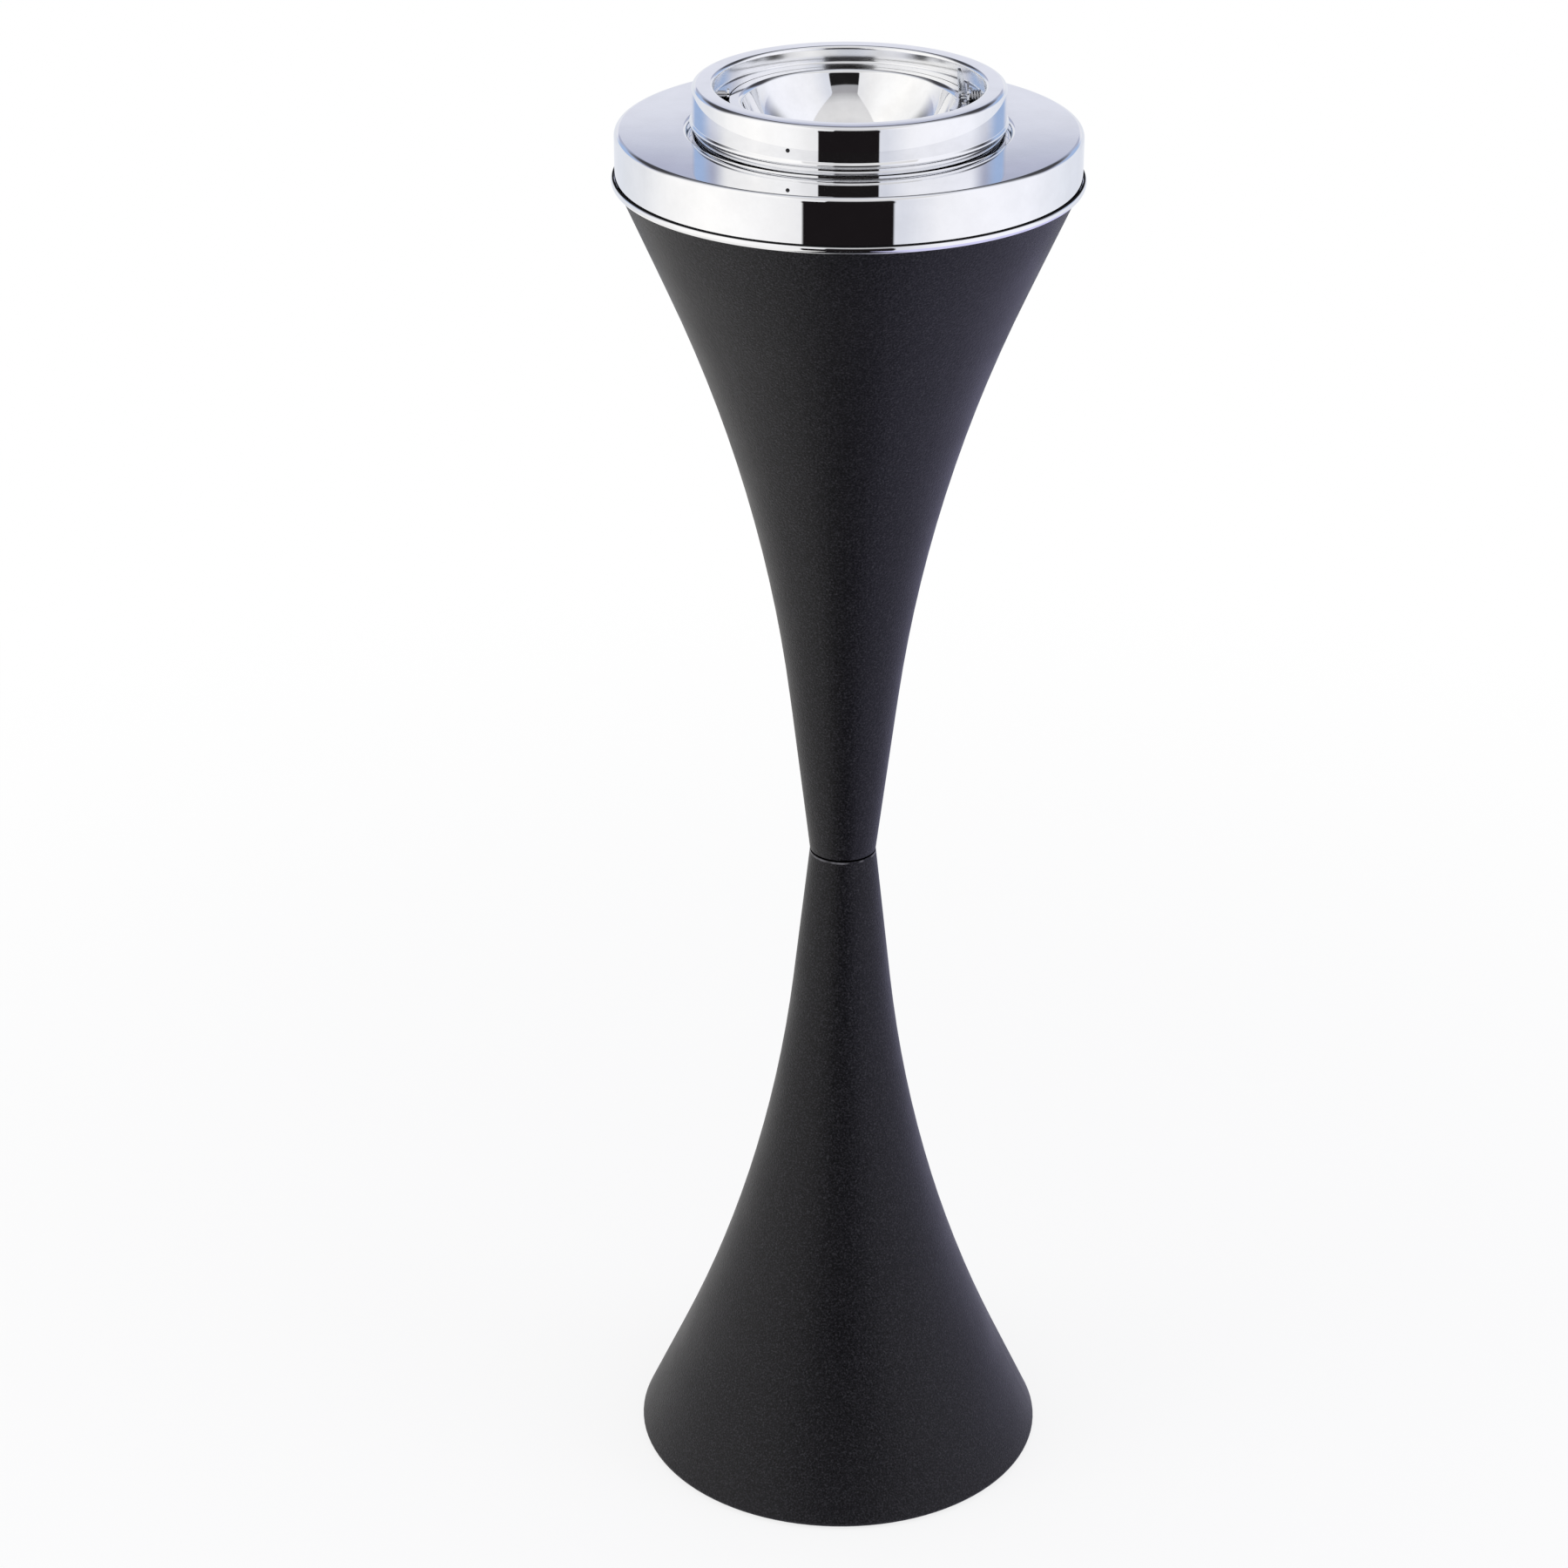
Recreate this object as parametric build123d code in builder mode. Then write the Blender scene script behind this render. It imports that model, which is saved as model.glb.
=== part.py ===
from build123d import *
from math import asin, cos, hypot, radians, sin, sqrt
import os

# Floor-standing ashtray bin: two flared shells joined at the waist, a lift-out
# liner, and a lift-off chrome head whose bowl tips on a left-right axis.
# Millimetres, +Z up. Origin on the floor, on the axis of revolution; -Y is the front.

# ---- driving dimensions: shells ----
BASE_R = 100.3  # foot cone, continued down to the floor
BASE_KNEE_R = 35.3  # where the foot cone and the lower neck cone would meet
BASE_KNEE_Z = 143.8
BASE_BEND = 692.0
WAIST_R = 15.6
WAIST_Z = 322.5
BODY_KNEE_R = 38.1
BODY_KNEE_Z = 506.6
BODY_BEND = 706.0
MOUTH_R = 102.15
MOUTH_Z = 650.9
SHELL_WALL = 1.2
FOOT_EDGE_Z = 1.0
HEM_WIDTH = 7.0
HEM_BEND = 1.7
NECK_EDGE = 0.4

# ---- driving dimensions: inside the stand ----
WEDGE_GAP = 0.1
ROD_R = 4.0
NUT_M8_AF = 13.0
NUT_M8_H = 6.5
WASHER_R = 8.5
WASHER_T = 1.6
ROD_BEYOND_NUT = 2.5
SPIGOT_NECK_INSET = 1.8
SPIGOT_NECK_DEPTH = 14.0
CONE_ABOVE_WAIST = 13.5
CONE_H = 16.0
WEIGHT_PAST_HEM = 1.65
WEIGHT_Z = 8.0
WEIGHT_H = 18.0
WEIGHT_EDGE = 1.0
POCKET_R = 12.0
POCKET_H = 11.5
PLATE_T = 1.4
PLATE_INSET = 0.6
FOOT_R = 10.0
FOOT_INSET = 17.2
FOOT_COUNT = 4
FOOT_RECESS = 3.3
M4_R = 2.0
M4_HEAD_R = 3.5
M4_HEAD_H = 2.4
M4_LENGTH = 12.0
THREAD_GAP = 0.1

# ---- driving dimensions: rim ring and liner ----
FLANGE_T = 1.1
BEAD_OUT = 1.95
BEAD_UP = 1.05
BEAD_DOWN = 1.55
BEAD_GAP = 0.3
RIM_WALL = 1.0
RIM_DEPTH = 10.9
RIM_GAP = 0.5
SEAT_WIDTH = 3.1
LINER_WALL = 0.8
LINER_DEPTH = 100.0
LINER_BOTTOM_R = 50.0
LINER_BEND = 6.0
LINER_GAP = 0.6
LINER_NECK_GAP = 1.0
LINER_RIM_BEND = 1.0

# ---- driving dimensions: bowl and pivot ----
BRIM_R = 52.0
BRIM_WIDTH = 5.2
BOWL_R = BRIM_R - BRIM_WIDTH  # where the dish would meet the brim
BOWL_DEPTH = 34.0
BOWL_LIP = 2.2
BOWL_WALL = 1.0
BRIM_ABOVE_LEDGE = 0.1
AXIS_ABOVE_BRIM = 1.6
RUNNING_GAP = 0.05
PIN_R = 1.2
PIN_HEAD_R = 2.6
PIN_HEAD_T = 2.0
EAR_T = 1.0
EAR_OUT_X = BRIM_R
EAR_HALF = 3.0
EAR_UP = 3.0  # ear above the axis
EAR_CORNER = 2.0
EAR_CLEAR = 0.6
SMALL_EAR_R = 2.8
SMALL_EAR_NECK = 2.2
SMALL_EAR_FOOT = 3.4
SMALL_EAR_GAP = 0.05
STRIP_T = 0.9
STRIP_WIDTH = 5.5
STRIP_INSET = 0.2
STRIP_FRONT = 11.0
STRIP_BACK = 8.0
BLADE_H = 12.0
BLADE_BASE = 4.6
BLADE_TIP = 1.2
RIVET_INSET = 2.4
RIVET_FRONT = 8.2
RIVET_BACK = 5.2
RIVET_R = 0.7
RIVET_HEAD_R = 1.1
RIVET_HEAD_T = 0.5
SPACER_WALL = 0.55
WIRE_R = 0.45
COIL_R = PIN_R + WIRE_R + 0.9
COIL_PITCH = 1.2
COIL_TURNS = 3.25
COIL_STUB = 2.2
LEG_DROP = 4.0
HOOK_START = 2.6
HOOK_RISE = 3.0
HOOK_BEND = 0.8

# ---- driving dimensions: cover and collar ----
HEAD_WALL = 1.0
SKIRT_STEP = 0.35
COVER_R = MOUTH_R + SKIRT_STEP
COVER_H = 21.3
COVER_BEND = 2.4
LEDGE_GAP = 0.7
LEDGE_WIDTH = 6.3
LEDGE_DROP = 7.4
LEDGE_BEND = 0.8
LEDGE_R = BRIM_R + LEDGE_GAP
THROAT_R = LEDGE_R + LEDGE_WIDTH
THROAT_BEND = 1.6
COLLAR_WIDTH = 9.6
COLLAR_R = THROAT_R + COLLAR_WIDTH
COLLAR_H = 24.6
COLLAR_FLANGE = 10.6
COLLAR_FOOT = 1.3
COLLAR_BEND = 2.3
BEAD_Z = 8.1  # middle of the collar's bead above the collar's foot
BEAD_HALF = 1.35
BEAD_PROUD = 1.2
HOLE_GAP = 2.8
HOLE_R = COLLAR_R + HOLE_GAP
HOLE_DEPTH = 4.6
HOLE_LIP = 3.0
HOLE_FOOT = 0.9
SEAT_RING = 11.4
HEAD_SCREW_INSET = 5.2
HEAD_SCREW_COUNT = 4
M3_R = 1.5
M3_HEAD_R = 2.8
M3_HEAD_H = 1.9
M3_LENGTH = 6.0
NUT_M3_AF = 5.5
NUT_M3_H = 2.4
NOTCH_HALF = 5.0
NOTCH_UNDER_BRIM = 2.0
NOTCH_FROM_WALL = 1.3
SPACER_FROM_WALL = 1.8

# ---- driving dimensions: stop under the brim ----
STOP_ANGLE = 22.0  # from the front towards the left
STOP_WIDTH = 6.0
STOP_T = 1.0
STOP_CLEAR = 0.2
STOP_REACH = 1.6  # under the brim
STOP_LEG = 9.0
STOP_BEND = 1.3
STOP_SIDE_GAP = 0.02
STOP_RIVET_R = 0.9
STOP_RIVET_DROP = 11.3  # rivet below the collar's top
STOP_RIVET_PROUD = 0.15
STOP_RIVET_HEAD_R = 1.4
STOP_RIVET_HEAD_T = 0.7

# ---- levels that follow ----
FLANGE_Z = MOUTH_Z + FLANGE_T
SEAT_Z = MOUTH_Z - RIM_DEPTH + RIM_WALL
COVER_Z = FLANGE_Z + COVER_H
COLLAR_Z = COVER_Z - HOLE_DEPTH
COLLAR_TOP_Z = COLLAR_Z + COLLAR_H
LEDGE_Z = COLLAR_TOP_Z - LEDGE_DROP
BRIM_Z = LEDGE_Z + BRIM_ABOVE_LEDGE
BRIM_UNDER_Z = BRIM_Z - BOWL_WALL
AXIS_Z = BRIM_Z + AXIS_ABOVE_BRIM
BOWL_SPHERE_R = (BOWL_R**2 + BOWL_DEPTH**2) / (2 * BOWL_DEPTH)
BOWL_CENTRE_Z = BRIM_Z - BOWL_DEPTH + BOWL_SPHERE_R
BOWL_MIDWAY = asin(BOWL_R / BOWL_SPHERE_R) / 2
STOP_RIVET_Z = COLLAR_TOP_Z - STOP_RIVET_DROP
CONE_Z = WAIST_Z + CONE_ABOVE_WAIST
PLATE_Z = WEIGHT_Z - PLATE_T
WEIGHT_NUT_Z = WEIGHT_Z + POCKET_H - WASHER_T - NUT_M8_H
CONE_NUT_Z = CONE_Z + CONE_H + WASHER_T

FOOT_SLOPE = (BASE_R - BASE_KNEE_R) / BASE_KNEE_Z
NECK_SLOPE = (BODY_KNEE_R - WAIST_R) / (BODY_KNEE_Z - WAIST_Z)
MOUTH_SLOPE = (MOUTH_R - BODY_KNEE_R) / (MOUTH_Z - BODY_KNEE_Z)
FOOT_WALL_R = SHELL_WALL * hypot(1, FOOT_SLOPE)
NECK_WALL_R = SHELL_WALL * hypot(1, NECK_SLOPE)
MOUTH_WALL_R = SHELL_WALL * hypot(1, MOUTH_SLOPE)


def foot_inside(z):
    """Inner radius of the foot cone at a height."""
    return BASE_R - z * FOOT_SLOPE - FOOT_WALL_R


def neck_inside(z):
    """Inner radius of the upper neck cone at a height."""
    return WAIST_R + (z - WAIST_Z) * NECK_SLOPE - NECK_WALL_R


def beyond(start, end, extra):
    """Point past the end of a line, in the line's direction."""
    run = end[0] - start[0]
    rise = end[1] - start[1]
    length = hypot(run, rise)
    return (end[0] + run * extra / length, end[1] + rise * extra / length)


def write(part, label):
    """Label a part and write its file."""
    part.label = label
    export_step(part, f"parts/{label}.step")


os.makedirs("parts", exist_ok=True)

# ---- shells ----
foot_edge = (BASE_R - FOOT_EDGE_Z * FOOT_SLOPE, FOOT_EDGE_Z)
hem_edge = (foot_edge[0] - HEM_WIDTH, FOOT_EDGE_Z)
base_knee = (BASE_KNEE_R, BASE_KNEE_Z)
body_knee = (BODY_KNEE_R, BODY_KNEE_Z)
waist = (WAIST_R, WAIST_Z)
mouth = (MOUTH_R, MOUTH_Z)

with BuildPart() as lower_trumpet:
    with BuildSketch(Plane.XZ):
        with BuildLine():
            FilletPolyline(
                hem_edge,
                foot_edge,
                base_knee,
                beyond(base_knee, waist, 5),
                radius=(HEM_BEND, BASE_BEND),
            )
            offset(amount=SHELL_WALL, side=Side.LEFT)
        make_face()
    revolve(axis=Axis.Z)
    split(bisect_by=Plane.XY.offset(WAIST_Z), keep=Keep.BOTTOM)
    lower_rim = lower_trumpet.edges().filter_by(GeomType.CIRCLE).group_by(Axis.Z)[-1]
    fillet(lower_rim.sort_by(SortBy.RADIUS)[-1], NECK_EDGE)
write(lower_trumpet.part, "lower_trumpet")

with BuildPart() as upper_trumpet:
    with BuildSketch(Plane.XZ):
        with BuildLine():
            FilletPolyline(
                beyond(body_knee, waist, 5),
                body_knee,
                beyond(body_knee, mouth, 5),
                radius=BODY_BEND,
            )
            offset(amount=SHELL_WALL, side=Side.LEFT)
        make_face()
    revolve(axis=Axis.Z)
    split(bisect_by=Plane.XY.offset(WAIST_Z), keep=Keep.TOP)
    split(bisect_by=Plane.XY.offset(MOUTH_Z), keep=Keep.BOTTOM)
    upper_rim = upper_trumpet.edges().filter_by(GeomType.CIRCLE).group_by(Axis.Z)[0]
    fillet(upper_rim.sort_by(SortBy.RADIUS)[-1], NECK_EDGE)
write(upper_trumpet.part, "upper_trumpet")

# ---- tie through the waist ----
cone_low_r = neck_inside(CONE_Z) - WEDGE_GAP
cone_high_r = neck_inside(CONE_Z + CONE_H) - WEDGE_GAP

with BuildPart() as clamp_cone:
    with BuildSketch(Plane.XZ):
        with BuildLine():
            Polyline(
                (ROD_R + THREAD_GAP, WAIST_Z - SPIGOT_NECK_DEPTH),
                (WAIST_R - SPIGOT_NECK_INSET, WAIST_Z - SPIGOT_NECK_DEPTH),
                (WAIST_R - SPIGOT_NECK_INSET, CONE_Z),
                (cone_low_r, CONE_Z),
                (cone_high_r, CONE_Z + CONE_H),
                (ROD_R + THREAD_GAP, CONE_Z + CONE_H),
                close=True,
            )
        make_face()
    revolve(axis=Axis.Z)
write(clamp_cone.part, "clamp_cone")

weight_r = hem_edge[0] - WEIGHT_PAST_HEM
foot_circle_r = weight_r - FOOT_INSET
shoulder_z = (BASE_R - FOOT_WALL_R - WEDGE_GAP - weight_r) / FOOT_SLOPE
weight_top_r = foot_inside(WEIGHT_Z + WEIGHT_H) - WEDGE_GAP

with BuildPart() as base_weight:
    with BuildSketch(Plane.XZ):
        with BuildLine():
            Polyline(
                (POCKET_R, WEIGHT_Z),
                (weight_r, WEIGHT_Z),
                (weight_r, shoulder_z),
                (weight_top_r, WEIGHT_Z + WEIGHT_H),
                (ROD_R + THREAD_GAP, WEIGHT_Z + WEIGHT_H),
                (ROD_R + THREAD_GAP, WEIGHT_Z + POCKET_H),
                (POCKET_R, WEIGHT_Z + POCKET_H),
                close=True,
            )
        make_face()
    revolve(axis=Axis.Z)
    weight_edge = base_weight.edges().filter_by(GeomType.CIRCLE).group_by(Axis.Z)[-1]
    chamfer(weight_edge.sort_by(SortBy.RADIUS)[-1], WEIGHT_EDGE)
    with BuildSketch(Plane.XY.offset(WEIGHT_Z)):
        with PolarLocations(foot_circle_r, FOOT_COUNT, start_angle=45):
            Circle(M4_R + THREAD_GAP)
    extrude(amount=M4_LENGTH, mode=Mode.SUBTRACT)
write(base_weight.part, "base_weight")

with BuildPart() as base_plate:
    with BuildSketch(Plane.XY.offset(PLATE_Z)):
        Circle(weight_r - PLATE_INSET)
        with PolarLocations(foot_circle_r, FOOT_COUNT, start_angle=45):
            Circle(M4_R + THREAD_GAP, mode=Mode.SUBTRACT)
    extrude(amount=PLATE_T)
write(base_plate.part, "base_plate")

with BuildPart() as rubber_feet:
    with BuildSketch():
        with PolarLocations(foot_circle_r, FOOT_COUNT, start_angle=45):
            Circle(FOOT_R)
            Circle(M4_R + THREAD_GAP, mode=Mode.SUBTRACT)
    extrude(amount=PLATE_Z)
    with BuildSketch():
        with PolarLocations(foot_circle_r, FOOT_COUNT, start_angle=45):
            Circle(M4_HEAD_R + 2 * THREAD_GAP)
    extrude(amount=FOOT_RECESS, mode=Mode.SUBTRACT)
    foot_rims = rubber_feet.edges().filter_by(GeomType.CIRCLE).group_by(Axis.Z)[0]
    fillet(foot_rims.filter_by(lambda edge: edge.radius > FOOT_R - 1), 1.0)
write(rubber_feet.part, "rubber_feet")

with BuildPart() as foot_screws:
    with BuildSketch(Plane.XY.offset(FOOT_RECESS)):
        with PolarLocations(foot_circle_r, FOOT_COUNT, start_angle=45):
            Circle(M4_R)
    extrude(amount=M4_LENGTH)
    with BuildSketch(Plane.XY.offset(FOOT_RECESS)):
        with PolarLocations(foot_circle_r, FOOT_COUNT, start_angle=45):
            Circle(M4_HEAD_R)
    extrude(amount=-M4_HEAD_H)
write(foot_screws.part, "foot_screws")

rod_bottom_z = WEIGHT_NUT_Z - ROD_BEYOND_NUT
rod_top_z = CONE_NUT_Z + NUT_M8_H + ROD_BEYOND_NUT

with BuildPart() as tie_rod:
    with BuildSketch(Plane.XY.offset(rod_bottom_z)):
        Circle(ROD_R)
    extrude(amount=rod_top_z - rod_bottom_z)
    chamfer(tie_rod.edges().filter_by(GeomType.CIRCLE), 0.6)
write(tie_rod.part, "tie_rod")

with BuildPart() as rod_washers:
    with BuildSketch(Plane.XY.offset(WEIGHT_Z + POCKET_H - WASHER_T)):
        Circle(WASHER_R)
        Circle(ROD_R + 2 * THREAD_GAP, mode=Mode.SUBTRACT)
    extrude(amount=WASHER_T)
    with BuildSketch(Plane.XY.offset(CONE_Z + CONE_H)):
        Circle(WASHER_R)
        Circle(ROD_R + 2 * THREAD_GAP, mode=Mode.SUBTRACT)
    extrude(amount=WASHER_T)
write(rod_washers.part, "rod_washers")

with BuildPart() as rod_nuts:
    with BuildSketch(Plane.XY.offset(WEIGHT_NUT_Z)):
        RegularPolygon(NUT_M8_AF / 2, 6, major_radius=False)
        Circle(ROD_R + THREAD_GAP, mode=Mode.SUBTRACT)
    extrude(amount=NUT_M8_H)
    with BuildSketch(Plane.XY.offset(CONE_NUT_Z)):
        RegularPolygon(NUT_M8_AF / 2, 6, major_radius=False)
        Circle(ROD_R + THREAD_GAP, mode=Mode.SUBTRACT)
    extrude(amount=NUT_M8_H)
write(rod_nuts.part, "rod_nuts")

# ---- rim ring and liner ----
rim_z = MOUTH_Z - RIM_DEPTH
rim_out_r = MOUTH_R - RIM_DEPTH * MOUTH_SLOPE - MOUTH_WALL_R - RIM_GAP
rim_in_r = rim_out_r - RIM_WALL
seat_in_r = rim_in_r - SEAT_WIDTH
bead_low_r = MOUTH_R + BEAD_GAP
bead_high_r = COVER_R + BEAD_GAP
bead_low = (bead_low_r, MOUTH_Z - BEAD_DOWN)
bead_out = (MOUTH_R + BEAD_OUT, FLANGE_Z + (BEAD_UP - BEAD_DOWN - FLANGE_T) / 2)
bead_high = (bead_high_r, FLANGE_Z + BEAD_UP)

with BuildPart() as rim_ring:
    with BuildSketch(Plane.XZ):
        with BuildLine():
            ThreePointArc(bead_low, bead_out, bead_high)
            Polyline(
                bead_high,
                (bead_high_r, FLANGE_Z),
                (rim_in_r, FLANGE_Z),
                (rim_in_r, SEAT_Z),
                (seat_in_r, SEAT_Z),
                (seat_in_r, rim_z),
                (rim_out_r, rim_z),
                (rim_out_r, MOUTH_Z),
                (bead_low_r, MOUTH_Z),
                bead_low,
            )
        make_face()
    revolve(axis=Axis.Z)
write(rim_ring.part, "rim_ring")

liner_top_r = seat_in_r - LINER_NECK_GAP

with BuildPart() as ash_liner:
    with BuildSketch(Plane.XZ):
        with BuildLine():
            FilletPolyline(
                (0, SEAT_Z - LINER_DEPTH),
                (LINER_BOTTOM_R, SEAT_Z - LINER_DEPTH),
                (liner_top_r, SEAT_Z),
                (rim_in_r - LINER_GAP, SEAT_Z),
                radius=(LINER_BEND, LINER_RIM_BEND),
            )
            offset(amount=LINER_WALL, side=Side.LEFT)
        make_face()
    revolve(axis=Axis.Z)
write(ash_liner.part, "ash_liner")

# ---- head: cover and collar ----
head_screw_r = COLLAR_R - HEAD_SCREW_INSET
notch_in_x = BRIM_R - NOTCH_UNDER_BRIM
notch_out_x = THROAT_R - NOTCH_FROM_WALL

with BuildPart() as cover:
    with BuildSketch(Plane.XZ):
        with BuildLine():
            FilletPolyline(
                (COVER_R, FLANGE_Z),
                (COVER_R, COVER_Z),
                (HOLE_R, COVER_Z),
                (HOLE_R, COLLAR_Z),
                (HOLE_R - SEAT_RING, COLLAR_Z),
                radius=(COVER_BEND, HOLE_LIP, HOLE_FOOT),
            )
            offset(amount=HEAD_WALL, side=Side.LEFT)
        make_face()
    revolve(axis=Axis.Z)
    with BuildSketch(Plane.XY.offset(COLLAR_Z)):
        with PolarLocations(head_screw_r, HEAD_SCREW_COUNT, start_angle=45):
            Circle(M3_R + THREAD_GAP)
    extrude(amount=-2 * HEAD_WALL, mode=Mode.SUBTRACT)
write(cover.part, "cover")

stop_plane = Plane(
    origin=(0, 0, STOP_RIVET_Z),
    x_dir=(cos(radians(STOP_ANGLE)), -sin(radians(STOP_ANGLE)), 0),
    z_dir=(-sin(radians(STOP_ANGLE)), -cos(radians(STOP_ANGLE)), 0),
)

with BuildPart() as collar:
    with BuildSketch(Plane.XZ):
        with BuildLine():
            FilletPolyline(
                (COLLAR_R - COLLAR_FLANGE, COLLAR_Z),
                (COLLAR_R, COLLAR_Z),
                (COLLAR_R, COLLAR_TOP_Z),
                (THROAT_R, COLLAR_TOP_Z),
                (THROAT_R, LEDGE_Z),
                (LEDGE_R, LEDGE_Z),
                radius=(COLLAR_FOOT, COLLAR_BEND, THROAT_BEND, LEDGE_BEND),
            )
            offset(amount=HEAD_WALL, side=Side.LEFT)
        make_face()
    revolve(axis=Axis.Z)
    with BuildSketch(Plane.XZ):
        with BuildLine():
            ThreePointArc(
                (COLLAR_R - HEAD_WALL / 2, COLLAR_Z + BEAD_Z - BEAD_HALF),
                (COLLAR_R + BEAD_PROUD, COLLAR_Z + BEAD_Z),
                (COLLAR_R - HEAD_WALL / 2, COLLAR_Z + BEAD_Z + BEAD_HALF),
            )
            Line(
                (COLLAR_R - HEAD_WALL / 2, COLLAR_Z + BEAD_Z + BEAD_HALF),
                (COLLAR_R - HEAD_WALL / 2, COLLAR_Z + BEAD_Z - BEAD_HALF),
            )
        make_face()
    revolve(axis=Axis.Z)
    with BuildSketch(Plane.XY.offset(COLLAR_Z)):
        with PolarLocations(head_screw_r, HEAD_SCREW_COUNT, start_angle=45):
            Circle(M3_R + THREAD_GAP)
    extrude(amount=2 * HEAD_WALL, mode=Mode.SUBTRACT)
    with BuildSketch(Plane.XY.offset(LEDGE_Z + 0.2)):
        Rectangle(2 * notch_out_x, 2 * NOTCH_HALF)
        Rectangle(2 * notch_in_x, 2 * NOTCH_HALF, mode=Mode.SUBTRACT)
    extrude(amount=-HEAD_WALL - 0.4, mode=Mode.SUBTRACT)
    with BuildSketch(Plane.YZ):
        with Locations((0, AXIS_Z)):
            Circle(PIN_R + THREAD_GAP)
    extrude(amount=THROAT_R + 2 * HEAD_WALL, both=True, mode=Mode.SUBTRACT)
    with BuildSketch(stop_plane):
        Circle(STOP_RIVET_R + THREAD_GAP)
    extrude(amount=COLLAR_R + 1, mode=Mode.SUBTRACT)
write(collar.part, "collar")

with BuildPart() as collar_screws:
    with BuildSketch(Plane.XY.offset(COLLAR_Z - HEAD_WALL)):
        with PolarLocations(head_screw_r, HEAD_SCREW_COUNT, start_angle=45):
            Circle(M3_R)
    extrude(amount=M3_LENGTH)
    with BuildSketch(Plane.XY.offset(COLLAR_Z - HEAD_WALL)):
        with PolarLocations(head_screw_r, HEAD_SCREW_COUNT, start_angle=45):
            Circle(M3_HEAD_R)
    extrude(amount=-M3_HEAD_H)
    screw_heads = collar_screws.edges().filter_by(GeomType.CIRCLE).group_by(Axis.Z)[0]
    fillet(screw_heads, M3_HEAD_H / 2)
write(collar_screws.part, "collar_screws")

with BuildPart() as collar_nuts:
    with BuildSketch(Plane.XY.offset(COLLAR_Z + HEAD_WALL)):
        with PolarLocations(head_screw_r, HEAD_SCREW_COUNT, start_angle=45):
            RegularPolygon(NUT_M3_AF / 2, 6, major_radius=False, rotation=30)
            Circle(M3_R + THREAD_GAP, mode=Mode.SUBTRACT)
    extrude(amount=NUT_M3_H)
write(collar_nuts.part, "collar_nuts")

# ---- head: pins, spacer, spring and stop ----
ear_x = EAR_OUT_X - EAR_T  # inner face of the right ear
small_ear_x = BRIM_R + SMALL_EAR_GAP  # inner face of the left ear
wall_x = THROAT_R + HEAD_WALL

with BuildPart() as right_pivot_pin:
    with BuildSketch(Plane.YZ.offset(ear_x)):
        with Locations((0, AXIS_Z)):
            Circle(PIN_R)
    extrude(amount=wall_x - ear_x)
    with BuildSketch(Plane.YZ.offset(wall_x)):
        with Locations((0, AXIS_Z)):
            Circle(PIN_HEAD_R)
    extrude(amount=PIN_HEAD_T)
write(right_pivot_pin.part, "right_pivot_pin")

with BuildPart() as left_pivot_pin:
    with BuildSketch(Plane.YZ.offset(-small_ear_x)):
        with Locations((0, AXIS_Z)):
            Circle(PIN_R)
    extrude(amount=small_ear_x - wall_x)
    with BuildSketch(Plane.YZ.offset(-wall_x)):
        with Locations((0, AXIS_Z)):
            Circle(PIN_HEAD_R)
    extrude(amount=-PIN_HEAD_T)
write(left_pivot_pin.part, "left_pivot_pin")

spacer_in_x = small_ear_x + EAR_T + EAR_CLEAR
spacer_out_x = THROAT_R - SPACER_FROM_WALL

with BuildPart() as pivot_spacer:
    with BuildSketch(Plane.YZ.offset(-spacer_in_x)):
        with Locations((0, AXIS_Z)):
            Circle(PIN_R + THREAD_GAP + SPACER_WALL)
            Circle(PIN_R + THREAD_GAP, mode=Mode.SUBTRACT)
    extrude(amount=spacer_in_x - spacer_out_x)
write(pivot_spacer.part, "pivot_spacer")

coil_x = EAR_OUT_X + EAR_CLEAR + WIRE_R
coil_length = COIL_PITCH * COIL_TURNS
wire_top_z = AXIS_Z + COIL_R
leg_foot = (coil_x + coil_length, WIRE_R - NOTCH_HALF, AXIS_Z - LEG_DROP)

with BuildPart() as return_spring:
    with BuildLine() as spring_wire:
        coil = Helix(
            COIL_PITCH,
            coil_length,
            COIL_R,
            center=(coil_x, 0, AXIS_Z),
            direction=(1, 0, 0),
        )
        stub_end = coil @ 0 - (coil % 0) * COIL_STUB
        Line(stub_end, coil @ 0)
        Spline(coil @ 1, leg_foot, tangents=(coil % 1, (0, 0, -1)))
    with BuildSketch(Plane(origin=stub_end, z_dir=coil % 0)):
        Circle(WIRE_R)
    sweep()
write(return_spring.part, "return_spring")

radial_plane = Plane(
    origin=(0, 0, 0),
    x_dir=(-sin(radians(STOP_ANGLE)), -cos(radians(STOP_ANGLE)), 0),
    z_dir=(-cos(radians(STOP_ANGLE)), sin(radians(STOP_ANGLE)), 0),
)
stop_top_z = BRIM_UNDER_Z - STOP_CLEAR
stop_in_r = BRIM_R - STOP_REACH
stop_out_r = sqrt((COLLAR_R - HEAD_WALL) ** 2 - (STOP_WIDTH / 2) ** 2) - STOP_SIDE_GAP

with BuildPart() as stop_bracket:
    with BuildSketch(radial_plane):
        with BuildLine():
            FilletPolyline(
                (stop_in_r, stop_top_z),
                (stop_out_r, stop_top_z),
                (stop_out_r, stop_top_z - STOP_LEG),
                radius=STOP_BEND,
            )
            offset(amount=STOP_T, side=Side.RIGHT)
        make_face()
    extrude(amount=STOP_WIDTH / 2, both=True)
    with BuildSketch(stop_plane):
        Circle(STOP_RIVET_R + THREAD_GAP)
    extrude(amount=COLLAR_R + 1, mode=Mode.SUBTRACT)
write(stop_bracket.part, "stop_bracket")

stop_head_r = stop_out_r - STOP_T

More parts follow.
